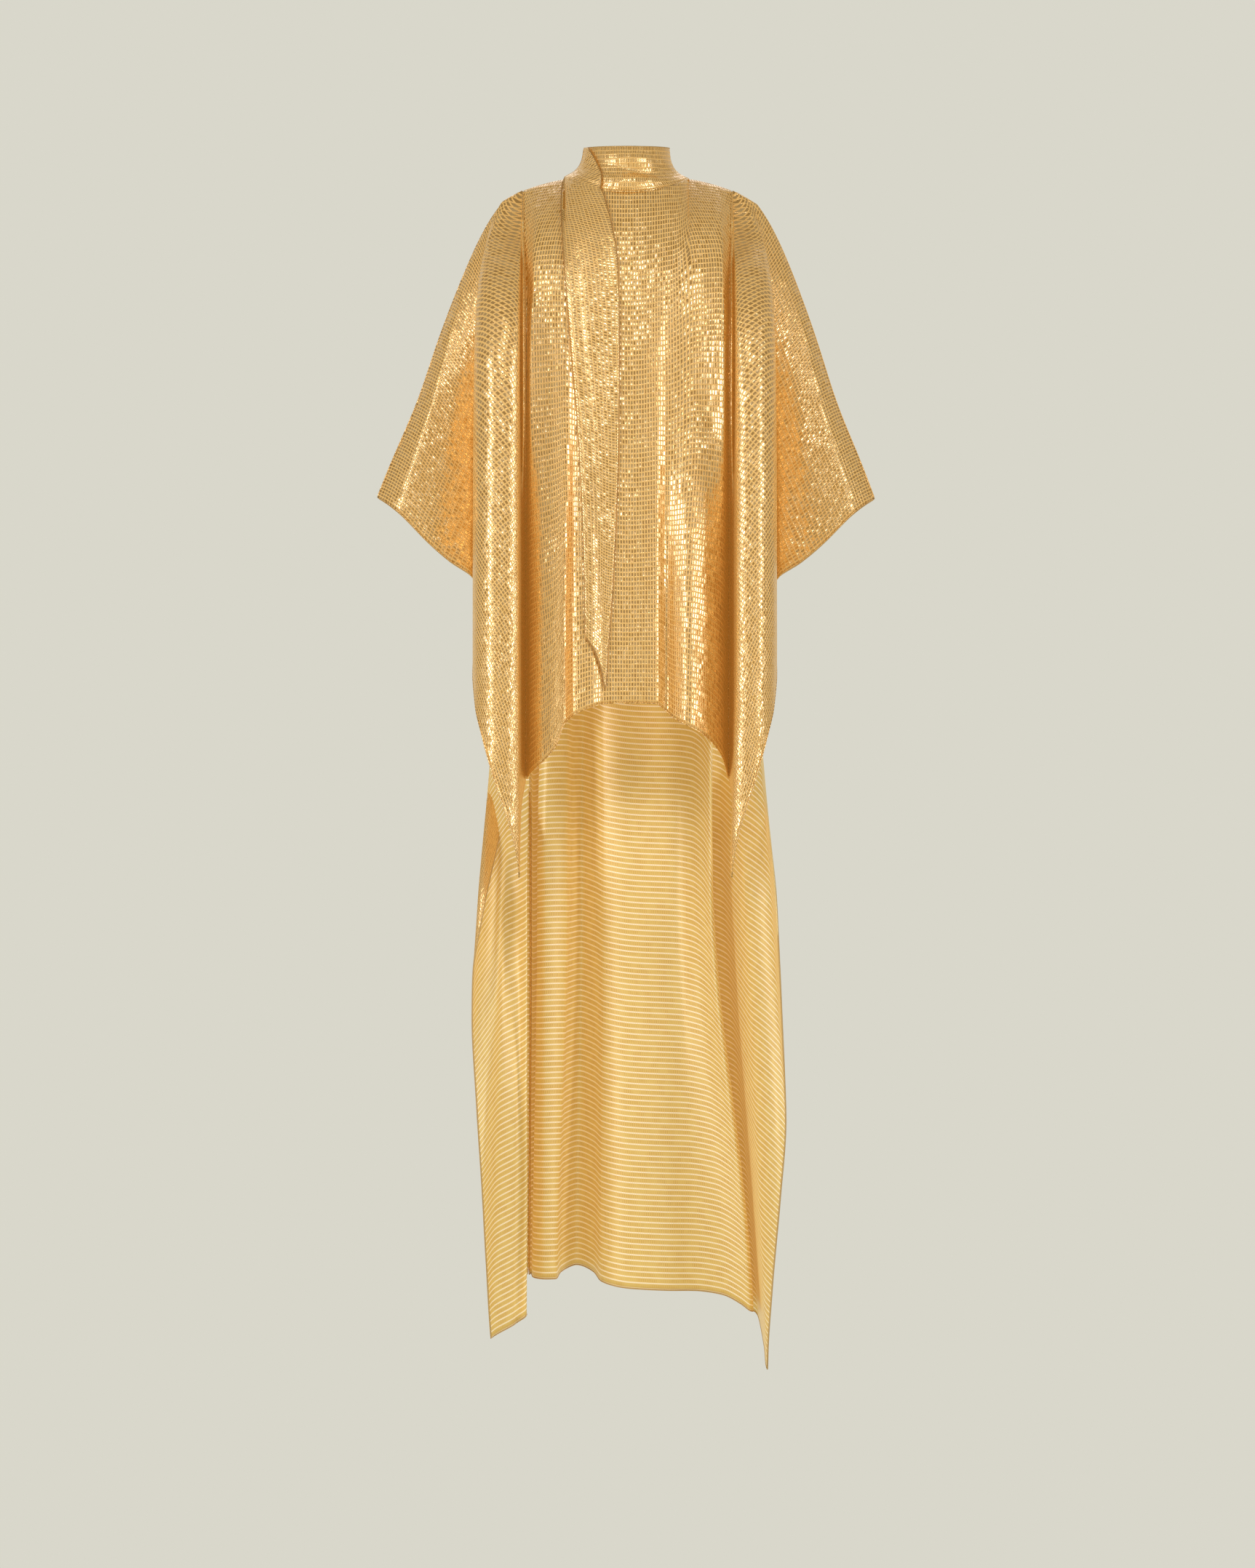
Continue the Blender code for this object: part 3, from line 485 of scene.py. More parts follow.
def wing_shape(r, angle, folds, seam, toward, side):
    """Points of a wing; r from the shoulder seam's top, angle off the grain, toward -1 front, 1 back."""
    reach = r * (1 - CUFF_TAKE_UP * ease(*TAKE_UP_ANGLES, angle))
    shift = FOLD_SHIFT * np.sin(np.radians(2 * angle)) ** 2 * (1 - ease(*SHIFT_REACH, r))
    fold = angle - shift * ease(*SHIFT_ANGLES, angle)
    lean, swell, soft, near, *lower = track(folds, fold)
    mid, far = lower or (near, near)
    outline, tuck, arm_lean, arm_swell = SIDES[side]
    inward, forward = track(seam, r)
    hanging = 1 - ease(*HANGING_ANGLES, fold)
    grow = 1 - (1 - ease(*HANGING_REACH, r)) * hanging
    swelling = 1 - np.exp(-reach / soft)
    on_arm = ease(*ARM_ANGLES, fold)
    out = grow * lean * reach + swell * swelling * (outline + (1 - outline) * on_arm)
    out = out + on_arm * (arm_lean * reach + arm_swell * swelling)
    out = out - on_arm * ARM_DIP * np.exp(-((reach - ARM_DIP_REACH) / ARM_DIP_LENGTH) ** 2)
    if toward < 0:
        out = out - tuck * ease(*TUCK_REACH, r) * ease(*TUCK_ANGLES, fold)
    deep = near + (mid - near) * ease(*MID_REACH, r) + (far - mid) * ease(*FAR_REACH, r)
    folded = ease(*FOLDED_REACH, r)
    hold = 1 - ease(*SEAM_ANGLES, angle)
    out = out - hold * inward
    round_arm = 1 - ((angle - SEAM_ANGLE) / (90 - SEAM_ANGLE)) ** 2
    dome = (FRONT_DOME if toward < 0 else BACK_DOME) * round_arm
    deep = deep * folded + (1 - hold) * (1 - folded) * dome * reach
    y = toward * (deep + hold * forward + apart(r))
    drop = np.sqrt(np.maximum(reach * reach - out * out - y * y, LEAST_DROP_SHARE * reach * reach))
    return np.stack([side * (SHOULDER_HALF + SEAM_HALF + out), y, SHOULDER_HEIGHT - settle(r) - drop], -1)


def refined(places, columns):
    """A table's places in more steps, closer together where its rows are."""
    return np.interp(np.linspace(0, len(places) - 1, columns + 1), np.arange(len(places)), places)


def wing_places(folds, seam_length, length, columns, rows):
    """Angles and distances of a wing's grid, from the seam's grain line round to the arm line."""
    corner = math.degrees(math.atan2(CUFF_WIDTH, length))
    angles = column(folds)
    angles[np.argmin(np.abs(angles - corner))] = corner
    angles = refined(angles, columns)
    angles[np.argmin(np.abs(angles - corner))] = corner
    below = (np.minimum(angles, corner) - SEAM_ANGLE) / (corner - SEAM_ANGLE)
    hem = (seam_length + (length - seam_length) * below) / np.cos(np.radians(np.minimum(angles, corner)))
    cuff = CUFF_WIDTH / np.sin(np.radians(np.maximum(angles, corner)))
    down = np.linspace(0, 1, rows + 1) ** WING_ROW_POWER
    return laid_out(angles, down, np.where(angles < corner, hem, cuff))


def top_edge(place, depth, height, toward):
    """Shoulder line and neckline of a body panel."""
    aside = np.abs(place)
    along = np.clip((aside - NECK_PLACE) / (1 - NECK_PLACE), 0, 1)
    turn = np.clip(aside / NECK_PLACE, 0, 1) * math.pi / 2
    on_neck = aside < NECK_PLACE
    x = np.where(on_neck, NECK_HALF * np.sin(turn), NECK_HALF + (SHOULDER_HALF - NECK_HALF) * along)
    dip = (height - NECK_SIDE_HEIGHT) * np.cos(turn) ** NECK_DIP_POWER
    fall = (SHOULDER_HEIGHT - NECK_SIDE_HEIGHT) * along ** SHOULDER_POWER
    y = toward * (TOP_HALF + np.where(on_neck, depth * np.cos(turn) ** NECK_ROUND_POWER, 0.0))
    return np.stack([np.sign(place) * x, y, NECK_SIDE_HEIGHT + np.where(on_neck, dip, fall)], -1)


def seam_line(r, seam, toward, side):
    """Body side of the dropped shoulder seam."""
    inward, out = track(seam, r)
    out = out + apart(r)
    drop = np.sqrt(np.maximum(r * r - inward * inward - out * out, 0.0))
    x = side * (SHOULDER_HALF - SEAM_HALF - inward)
    return np.stack([x, toward * out, SHOULDER_HEIGHT - settle(r) - drop], -1)


def body_inside(place, down, table, levels, neck, toward):
    """Body panel before its side edges are laid on the seams."""
    top = top_edge(place, neck[0], neck[1], toward)
    section = dict(zip(table[0][1:], track(table, place)))
    z = top[..., 2] + (section["hem_z"] - top[..., 2]) * down
    x, y = (section[levels[0][1] + axis] for axis in ("_x", "_y"))
    for (above, _), (below, name) in zip(levels[:-1], levels[1:]):
        share = ease(above, below, z)
        x = x + share * (section[name + "_x"] - x)
        y = y + share * (section[name + "_y"] - y)
    fall = top[..., 2] - z
    x = top[..., 0] + (x - top[..., 0]) * ease(0.0, NECK_EASE_DROP, fall)
    y = top[..., 1] + (y - top[..., 1]) * np.tanh(fall / CHEST_SOFT_DROP)
    return np.stack([x, y, z], -1)


def body_shape(place, down, table, levels, neck, toward, seams, lengths):
    """Points of a body panel; place across from -1 to 1, down from 0 at the top edge to 1 at the hem."""
    points = body_inside(place, down, table, levels, neck, toward)
    for side, seam, length in zip((-1, 1), seams, lengths):
        edge = body_inside(side + 0 * place, down, table, levels, neck, toward)
        wanted = seam_line(down * length, seam, toward, side)
        weight = np.where(np.sign(place) == side, np.abs(place) ** SEAM_HOLD_POWER, 0.0)
        points = points + weight[..., None] * (wanted - edge)
    return points


def front_body_shape(place, down):
    """Front panel."""
    length = FRONT_SEAM_LENGTH / math.cos(math.radians(SEAM_ANGLE))
    neck = (NECK_FRONT_DEPTH, NECK_FRONT_HEIGHT)
    return body_shape(place, down, FRONT_BODY, FRONT_LEVELS, neck, -1, (FRONT_SEAM, FRONT_SEAM),
                      (length, length))


def back_body_shape(place, down):
    """Back panel."""
    grain = math.cos(math.radians(SEAM_ANGLE))
    neck = (NECK_BACK_DEPTH, NECK_BACK_HEIGHT)
    return body_shape(place, down, BACK_BODY, BACK_LEVELS, neck, 1, (BACK_SEAM_LEFT, BACK_SEAM_RIGHT),
                      (BACK_LENGTH_LEFT / grain, BACK_LENGTH_RIGHT / grain))


def collar_shape(turn, height):
    """Funnel collar; turn is 0 at the front centre and 1 once round the neck."""
    around = turn * 2 * math.pi
    front = np.cos(around) > 0
    low = np.where(front, NECK_FRONT_HEIGHT, NECK_BACK_HEIGHT)
    dip = np.abs(np.cos(around)) ** NECK_DIP_POWER
    seam = NECK_SIDE_HEIGHT + (low - NECK_SIDE_HEIGHT) * dip + COLLAR_CLEAR
    half_width, front_depth, back_depth = track(COLLAR, height)
    depth = np.where(front, front_depth, back_depth)
    top = COLLAR_TOP + COLLAR_RISE * 0.5 * (1 - np.cos(around))
    z = seam + (top - seam) * height
    return np.stack([half_width * np.sin(around), -depth * np.cos(around), z], -1)


def lifted(shape, across, down, lift):
    """Points of a surface moved off it, forward where down runs up the surface."""
    point = shape(across, down)
    sideways = shape(across + LIFT_STEP, down) - shape(across - LIFT_STEP, down)
    lengthways = shape(across, down + LIFT_STEP) - shape(across, down - LIFT_STEP)
    normal = np.cross(sideways, lengthways)
    normal = normal / np.linalg.norm(normal, axis=-1, keepdims=True)
    return point + lift * normal


def scarf_shape(columns, collar_rows, body_rows):
    """Scarf end from the collar's top edge down the front body, made from their points, moved out."""
    sideways = np.linspace(0, 1, columns + 1)
    rows = []
    for height in np.linspace(1, 0, collar_rows + 1):
        left, right = track(SCARF_COLLAR, height)
        place = left + (right - left) * sideways
        rows.append(lifted(collar_shape, place / (4 * NECK_PLACE), height + 0 * sideways, SCARF_LIFT))
    neck_seam = top_edge(place, NECK_FRONT_DEPTH, NECK_FRONT_HEIGHT, -1)[:, 2]
    downward = np.linspace(0, 1, body_rows + 1) ** SCARF_ROW_POWER
    few, parts = (np.linspace(0, 1, count + 1) for count in SCARF_GUIDES)
    guides = np.array([scarf_guide(part, few, np.interp(few, sideways, neck_seam)) for part in parts])
    ways = np.array([[smooth(parts, guides[:, i, k], downward) for k in (0, 1)] for i in range(len(few))])
    for i in range(len(downward)):
        across, down = (smooth(few, ways[:, k, i], sideways) for k in (0, 1))
        rows.append(lifted(front_body_shape, across, down, -SCARF_LIFT))
    return np.array(rows)


def scarf_guide(part, sideways, neck_seam):
    """Places on the front body under a few points across the scarf, at a part of its way down."""
    start = SCARF_START - neck_seam
    end = SCARF_END[0] + (SCARF_END[1] - SCARF_END[0]) * sideways ** SCARF_END_POWER
    drop = start + (end - start) * part
    left, right = track(SCARF_EDGES, drop)
    places = np.linspace(*SCARF_PLACES)
    return [front_place(x, -z, places) for x, z in zip(left + (right - left) * sideways, drop)]


def front_place(x, z, places):
    """Place on the front body that is seen from the front at x, z."""
    down = FIRST_DOWN
    for _ in range(PLACE_TRIES):
        points = front_body_shape(places, down + 0 * places)
        place = np.interp(x, points[:, 0], places)
        height = np.interp(x, points[:, 0], points[:, 2])
        top = top_edge(np.array([place]), NECK_FRONT_DEPTH, NECK_FRONT_HEIGHT, -1)[0, 2]
        down = np.clip(down + (height - z) / (top + FRONT_SEAM_LENGTH), LEAST_DOWN, 1.0)
    return place, down


def laid_out(across, down, scale=1):
    """Every place of a grid from its columns and rows, the places down scaled column by column."""
    return across[None, :] + 0 * down[:, None], down[:, None] * (scale + 0 * across)[None, :]


def run_of(points, axis):
    """Distance along a grid's rows or columns, from its first line."""
    steps = np.linalg.norm(np.diff(points, axis=axis), axis=-1)
    start = np.zeros_like(np.take(steps, [0], axis=axis))
    return np.concatenate([start, np.cumsum(steps, axis=axis)], axis=axis)


def grid_normals(points):
    """Unit normals of a grid of points."""
    across = np.gradient(points, axis=1)
    down = np.gradient(points, axis=0)
    normal = np.cross(across, down)
    return normal / np.maximum(np.linalg.norm(normal, axis=-1, keepdims=True), LEAST_LENGTH)


def evened(values, times):
    """Values evened out along each row with their neighbours; the ends of the rows stay."""
    values = values.copy()
    for _ in range(times):
        values[:, 1:-1] = 0.25 * values[:, :-2] + 0.5 * values[:, 1:-1] + 0.25 * values[:, 2:]
    return values


def body_cloth(points, place, lean):
    """Cloth places of a body panel in metres: rows level at the top edge, parallel to the hem below."""
    run = run_of(points, 0)
    share = run / run[-1:]
    start = NECK_SIDE_HEIGHT - points[:1, :, 2]
    hem = np.mean(start + run[-1:])
    sag = 4 * lean * np.maximum(place, 0) ** 2 * share * (1 - share)
    v = evened(start + run + share ** 2 * (hem - start - run[-1:]) + sag, EVENED_TIMES)
    step = np.linalg.norm(np.diff(points, axis=1), axis=-1)
    across = np.sqrt(np.maximum(step ** 2 - np.diff(v, axis=1) ** 2, LEAST_ACROSS_SHARE * step ** 2))
    u = np.concatenate([np.zeros((len(points), 1)), np.cumsum(across, axis=1)], axis=1)
    middle = np.argmin(np.abs(place[0]))
    return np.stack([u - u[:, middle:middle + 1], v], -1)


def outer_sign(points, direction):
    """1 where the grid's normals lie with a direction on the whole, else -1."""
    normals = grid_normals(points)
    return 1.0 if np.sum(normals * np.array(direction)) > 0 else -1.0


def creased(points, cloth, creases, direction):
    """Points with soft creases, each a ridge or trough by its place on the cloth."""
    height = np.zeros(points.shape[:2])
    for across, down, turn, length, width, depth in creases:
        x = cloth[..., 0] - across
        y = cloth[..., 1] - down
        cosine, sine = math.cos(math.radians(turn)), math.sin(math.radians(turn))
        along = x * sine + y * cosine
        beside = x * cosine - y * sine
        height += depth * np.exp(-(along / length) ** 2 - (beside / width) ** 2)
    return points + outer_sign(points, direction) * height[..., None] * grid_normals(points)


def fill(tree, made, values):
    """Sets a node's inputs, each to a value or joined to another node's output."""
    for place, value in values:
        if isinstance(value, bpy.types.NodeSocket):
            tree.links.new(value, made.inputs[place])
        else:
            made.inputs[place].default_value = value


def node(tree, kind, values=(), **settings):
    """New shader node with its settings and its inputs."""
    made = tree.nodes.new(kind)
    for name, value in settings.items():
        setattr(made, name, value)
    fill(tree, made, values)
    return made


def maths(tree, operation, first, second=0.0):
    """Result of a Math node."""
    return node(tree, "ShaderNodeMath", ((0, first), (1, second)), operation=operation).outputs[0]


def solid(colour):
    """Colour that lets nothing through."""
    return (*colour, 1.0)


def mixed(tree, share, first, second):
    """Colour between two colours."""
    return node(tree, "ShaderNodeMix", ((0, share), (6, first), (7, second)), data_type="RGBA").outputs[2]


def ramp(tree, value, edge, start=0.0, end=1.0):
    """Smooth step from start to end while a value passes from one limit of an edge to the other."""
    values = ((0, value), (1, edge[0]), (2, edge[1]), (3, start), (4, end))
    return node(tree, "ShaderNodeMapRange", values, interpolation_type="SMOOTHSTEP").outputs[0]


def from_lines(tree, place, spacing):
    """Distance from the nearest of evenly spaced lines, 0 on a line and 0.5 halfway to the next."""
    return maths(tree, "PINGPONG", maths(tree, "DIVIDE", place, spacing), 0.5)


def swung(tree, value, amount):
    """A value from 0 to 1 set about 0, times an amount."""
    return maths(tree, "MULTIPLY", maths(tree, "SUBTRACT", value, 0.5), amount)


def noise(tree, places, scale, detail):
    """Soft noise over the cloth."""
    return node(tree, "ShaderNodeTexNoise", ((0, places), (2, scale), (3, detail))).outputs


def raised(tree, height, strength, distance, *more):
    """Normal of a face raised by a height."""
    values = (("Strength", strength), ("Distance", distance), ("Height", height), *more)
    return node(tree, "ShaderNodeBump", values).outputs[0]


def scaled(tree, vector, amount):
    """Vector times an amount."""
    return node(tree, "ShaderNodeVectorMath", ((0, vector), (3, amount)), operation="SCALE").outputs[0]


def summed(tree, first, second):
    """Sum of two vectors."""
    return node(tree, "ShaderNodeVectorMath", ((0, first), (1, second)), operation="ADD").outputs[0]


def cloth_places(tree):
    """The weave's place across and down, in metres of cloth."""
    uv = node(tree, "ShaderNodeUVMap", uv_map="weave")
    split = node(tree, "ShaderNodeSeparateXYZ", ((0, uv.outputs[0]),))
    return uv.outputs[0], split.outputs[0], split.outputs[1]


def cell_side(tree, place, size, width):
    """One direction of the weave: the cell's number, the place in it from -0.5 to 0.5, and the thread."""
    count = maths(tree, "DIVIDE", place, size)
    number = maths(tree, "FLOOR", count)
    inside = maths(tree, "SUBTRACT", maths(tree, "SUBTRACT", count, number), 0.5)
    away = maths(tree, "PINGPONG", count, 0.5)
    edge = (width * 0.5 - THREAD_SOFT, width * 0.5 + THREAD_SOFT)
    return number, inside, ramp(tree, away, edge, 1.0, 0.0)


def metallic_look(tree, across, down, settings):
    """Metallic face of the cloth: small bowed foil cells between gold threads, each tilted its own way."""
    uv, u, v = cloth_places(tree)
    number_u, inside_u, thread_u = cell_side(tree, u, across, settings.thread_across)
    number_v, inside_v, thread_v = cell_side(tree, v, down, settings.thread_down)
    thread = maths(tree, "MAXIMUM", thread_u, thread_v)
    cell = node(tree, "ShaderNodeCombineXYZ", ((0, number_u), (1, number_v)))
    random = node(tree, "ShaderNodeTexWhiteNoise", ((0, cell.outputs[0]),), noise_dimensions="2D")
    cloud = noise(tree, uv, *SWAY_NOISE)
    own = node(tree, "ShaderNodeSeparateXYZ", ((0, random.outputs[1]),))
    shared = node(tree, "ShaderNodeSeparateXYZ", ((0, cloud[1]),))
    bows = (inside_u, settings.cell_bow), (inside_v, settings.cell_bow * BOW_DOWN)
    leans = []
    for place, (inside, bow) in enumerate(bows):
        lean = maths(tree, "MULTIPLY", inside, bow)
        own_lean = swung(tree, own.outputs[place], settings.cell_tilt)
        shared_lean = swung(tree, shared.outputs[place], settings.cell_sway)
        leans.append(maths(tree, "ADD", lean, maths(tree, "ADD", own_lean, shared_lean)))
    normal = node(tree, "ShaderNodeNewGeometry").outputs["Normal"]
    tangent = node(tree, "ShaderNodeTangent", (), direction_type="UV_MAP", uv_map="weave").outputs[0]
    sides = ((0, normal), (1, tangent))
    other = node(tree, "ShaderNodeVectorMath", sides, operation="CROSS_PRODUCT").outputs[0]
    lean = summed(tree, scaled(tree, tangent, leans[0]), scaled(tree, other, leans[1]))
    leaning = summed(tree, normal, lean)
    facing = node(tree, "ShaderNodeVectorMath", ((0, leaning),), operation="NORMALIZE").outputs[0]
    share = maths(tree, "MULTIPLY", random.outputs[0], DEEP_SHARE)
    foil = mixed(tree, share, solid(settings.cell_colour), solid(settings.cell_deep_colour))
    return (
        ("Base Color", mixed(tree, thread, foil, solid(settings.thread_colour))),
        ("Metallic", ramp(tree, thread, WHOLE, 1.0, 0.0)),
        ("Roughness", ramp(tree, thread, WHOLE, settings.cell_roughness, THREAD_ROUGHNESS)),
        ("Normal", raised(tree, thread, *THREAD_BUMP, ("Normal", facing))),
        # painted light: an orange emission glow that lifts the shade in the metallic face's folds and
        # grooves
        ("Emission Color", solid(settings.painted_outer_glow_colour)),
        ("Emission Strength", settings.painted_outer_glow),
    )


def striped_look(tree, settings):
    """Inner face of the cloth: satin gold with pale bars and fine ticks between them."""
    uv, u, v = cloth_places(tree)
    bars = ramp(tree, from_lines(tree, v, settings.bar_spacing), BAR_EDGE, 1.0, 0.0)
    ticks = ramp(tree, from_lines(tree, u, settings.tick_spacing), TICK_EDGE)
    patchy = ramp(tree, noise(tree, uv, *PATCH_NOISE)[0], PATCH_EDGE, PATCH_LEAST)
    share = maths(tree, "MULTIPLY", ticks, patchy)
    ground = mixed(tree, share, solid(settings.inner_colour), solid(settings.inner_deep_colour))
    broken = maths(tree, "MULTIPLY", bars, ramp(tree, ticks, WHOLE, BAR_LEAST))
    bar_colour = solid(settings.bar_colour)
    return (
        ("Base Color", mixed(tree, broken, ground, bar_colour)),
        ("Metallic", INNER_METALLIC),
        ("Roughness", INNER_ROUGHNESS),
        ("Normal", raised(tree, bars, *BAR_BUMP)),
        # painted light: the inner face's ground and bars glow, lifting its shade so its deep parts never
        # go dark
        ("Emission Color", mixed(tree, broken, solid(settings.painted_inner_glow_colour), bar_colour)),
        ("Emission Strength", settings.painted_inner_glow),
    )


def overlock_look(tree, settings):
    """Thread of the overlocked edges, in short slanting stitches."""
    _, u, v = cloth_places(tree)
    slanted = maths(tree, "ADD", v, maths(tree, "MULTIPLY", u, STITCH_SLANT))
    lit = ramp(tree, from_lines(tree, slanted, STITCH_LENGTH), STITCH_EDGE)
    colours = solid(settings.edge_deep_colour), solid(settings.edge_colour)
    return (
        ("Base Color", mixed(tree, lit, *colours)),
        ("Metallic", EDGE_METALLIC),
        ("Roughness", EDGE_ROUGHNESS),
        ("Normal", raised(tree, lit, *STITCH_BUMP)),
    )


def scarf_shadow_thread_look(tree, settings):
    """Thread of the scarf's edges, darkened gold: painted shade for the thin shadow lines along them."""
    twist = noise(tree, cloth_places(tree)[0], *TWIST_NOISE)[0]
    # painted shade: the thread's colour is darkened to stand for the shadow lines along the scarf's edges
    colours = solid(settings.edge_deep_colour), solid(settings.scarf_edge_shadow_colour)
    return (
        ("Base Color", mixed(tree, twist, *colours)),
        ("Metallic", EDGE_METALLIC),
        ("Roughness", EDGE_ROUGHNESS),
    )


def paper_look(tree, stage):
    """Even pale paper of the backdrop, lit by itself alone."""
    return (
        ("Base Color", (0.0, 0.0, 0.0, 1.0)),
        ("Specular IOR Level", 0.0),
        ("Roughness", 1.0),
        ("Emission Color", solid(stage.backdrop_colour)),
        ("Emission Strength", stage.backdrop_glow),
    )


def the_material(name, look, *inputs):
    """A material of this name, made once; look gives its shader's inputs."""
    material = bpy.data.materials.get(name)
    if material is None:
        material = bpy.data.materials.new(name)
        material.use_nodes = True
        tree = material.node_tree
        fill(tree, tree.nodes["Principled BSDF"], look(tree, *inputs))
    return material


def metallic(look, part):
    """Material of the metallic face, with a part's own size of cells."""
    sizes = {"body": (look.cell_width, look.cell_height),
             "wing": (look.wing_cell_width, look.wing_cell_height),
             "collar": (look.collar_cell_width, look.collar_cell_height),
             "scarf": (look.scarf_cell_down, look.scarf_cell_across)}
    return the_material("lame_" + part, metallic_look, *sizes[part], look)


def overlock(look):
    """Material of the overlocked edges."""
    return the_material("overlock_thread", overlock_look, look)


def lay_mesh(name, points, cloth, flip, wrap=False):
    """Mesh of a grid with its cloth places as UV; wrap joins its last column to its first."""
    rows, columns = points.shape[:2]
    used = columns - 1 if wrap else columns
    i, j = np.meshgrid(np.arange(rows - 1), np.arange(columns - 1), indexing="ij")
    corners = ((i, j), (i + 1, j), (i + 1, j + 1), (i, j + 1))
    faces = np.stack([a * used + b % used for a, b in corners], -1).reshape(-1, 4)
    places = np.stack([cloth[a, b] for a, b in corners], 2).reshape(-1, 4, 2)
    if flip:
        faces = faces[:, ::-1]
        places = places[:, ::-1]
    mesh = bpy.data.meshes.new(name)
    mesh.from_pydata(points[:, :used].reshape(-1, 3).tolist(), [], faces.tolist())
    layer = mesh.uv_layers.new(name="weave")
    layer.data.foreach_set("uv", places.astype(np.float32).ravel())
    mesh.update()
    return mesh


def shown(name, data, *materials):
    """New object in the scene; a mesh is shaded smooth in its materials."""
    for material in materials:
        data.materials.append(material)
    if materials:
        data.shade_smooth()
    made = bpy.data.objects.new(name, data)
    bpy.context.scene.collection.objects.link(made)
    return made


def cloth_shell(look, name, points, cloth, direction, part, slot_name="gold_cloth"):
    """Thin shell of cloth in place of a solid, its metallic face on the side of the direction."""
    mesh = lay_mesh(name + "_cloth", points, cloth, outer_sign(points, direction) > 0)
    inner = the_material("striped_inside", striped_look, look)
    shell = shown(name + "_cloth", mesh, metallic(look, part), inner, overlock(look))
    weld = shell.modifiers.new("weld", "WELD")
    weld.merge_threshold = MERGE_DISTANCE
    wall = shell.modifiers.new("wall", "SOLIDIFY")
    wall.thickness = SHELL_WALL
    wall.offset = 0.0
    wall.material_offset = 1
    wall.material_offset_rim = 2
    wall.use_even_offset = False
    return worn(shell, slot_name, name)


def worn(piece, slot_name, *nodes):
    """Rides a piece on the kaftan in place of its plain solids."""
    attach(piece, "root")
    if nodes:
        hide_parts(*nodes)
    return piece


def thread_line(name, line, radius, material):
    """Round thread along a line of points, thin at its ends."""
    line = np.asarray(line, float)
    keep = np.concatenate([[True], np.linalg.norm(np.diff(line, axis=0), axis=1) > SAME_POINT])
    line = line[keep]
    ahead = np.gradient(line, axis=0)
    ahead = ahead / np.linalg.norm(ahead, axis=1, keepdims=True)
    beside = np.zeros_like(line)
    held = np.cross(ahead[0], THREAD_TURNED_FROM)
    for i, direction in enumerate(ahead):
        held = held - held.dot(direction) * direction
        held = held / np.linalg.norm(held)
        beside[i] = held
    other = np.cross(ahead, beside)
    turn = np.linspace(0, 2 * math.pi, THREAD_SIDES + 1)[None, :, None]
    size = np.full(len(line), radius)
    size[[0, -1]] = THREAD_TIP * radius
    ring = beside[:, None, :] * np.cos(turn) + other[:, None, :] * np.sin(turn)
    points = line[:, None, :] + ring * size[:, None, None]
    run = run_of(line[:, None, :], 0)
    cloth = np.stack([turn[..., 0] * radius + 0 * run, run + 0 * turn[..., 0]], -1)
    return worn(shown(name, lay_mesh(name, points, cloth, False, True), material), "gold_cloth")


def hem_line(look, name, line, part, toward):
    """Turned gold edge of a front piece, or overlocked edge of a back one."""
    if toward < 0:
        return thread_line(name + "_hem", line, SEAM_THREAD, metallic(look, part))
    return thread_line(name + "_hem", line, EDGE_THREAD, overlock(look))


def make_bodies(look):
    """Front and back panels with their hems."""
    panels = (
        ("front_body", FRONT_BODY, front_body_shape, (0, -1, 0), FRONT_CREASES, 0.0, FRONT_BODY_GRID),
        ("back_body", BACK_BODY, back_body_shape, (0, 1, 0), BACK_CREASES, BACK_SAG, BACK_BODY_GRID),
    )
    for name, table, shape, direction, creases, sag, (columns, rows) in panels:
        down = np.linspace(0, 1, rows + 1) ** BODY_ROW_POWER
        place, down = laid_out(refined(column(table), columns), down)
        points = shape(place, down)
        cloth = body_cloth(points, place, sag)
        points = creased(points, cloth, creases, direction)
        panel = cloth_shell(look, name, points, cloth, direction, "body")
        edge = hem_line(look, name, points[-1], "body", direction[1])


def make_wing(look, name, folds, seam, toward, side, seam_length, length, sizes):
    """One half of a sleeve with its hem and its seams."""
    angle, r = wing_places(folds, seam_length, length, *sizes)
    points = wing_shape(r, angle, folds, seam, toward, side)
    cloth = np.stack([r * np.sin(np.radians(angle)), r * np.cos(np.radians(angle))], -1)
    direction = (0.0, toward, 0.0)
    points = creased(points, cloth, WING_CREASES, direction)
    wing = cloth_shell(look, name, points, cloth, direction, "wing")
    hem = hem_line(look, name, points[-1], "wing", toward)
    arm = thread_line(name + "_arm_seam", points[1:, -1], SEAM_THREAD, metallic(look, "wing"))
    seam_points = points[:, 0] - (side * SEAM_HALF, 0, 0)
    shoulder = thread_line(name + "_shoulder_seam", seam_points, SEAM_THREAD, metallic(look, "wing"))


def make_front_wings(look):
    """Front halves of both sleeves."""
    for side, word in SIDE_WORDS:
        make_wing(look, "wing_front_" + word, FRONT_FOLDS, FRONT_SEAM, -1, side,
                  FRONT_SEAM_LENGTH, FRONT_LENGTH, FRONT_WING_GRID)


def make_back_wings(look):
    """Back halves of both sleeves, which run on into the long back."""
    backs = ((BACK_FOLDS_LEFT, BACK_SEAM_LEFT, BACK_LENGTH_LEFT),
             (BACK_FOLDS_RIGHT, BACK_SEAM_RIGHT, BACK_LENGTH_RIGHT))
    for (side, word), (folds, seam, length) in zip(SIDE_WORDS, backs):
        make_wing(look, "wing_back_" + word, folds, seam, 1, side, length, length, BACK_WING_GRID)


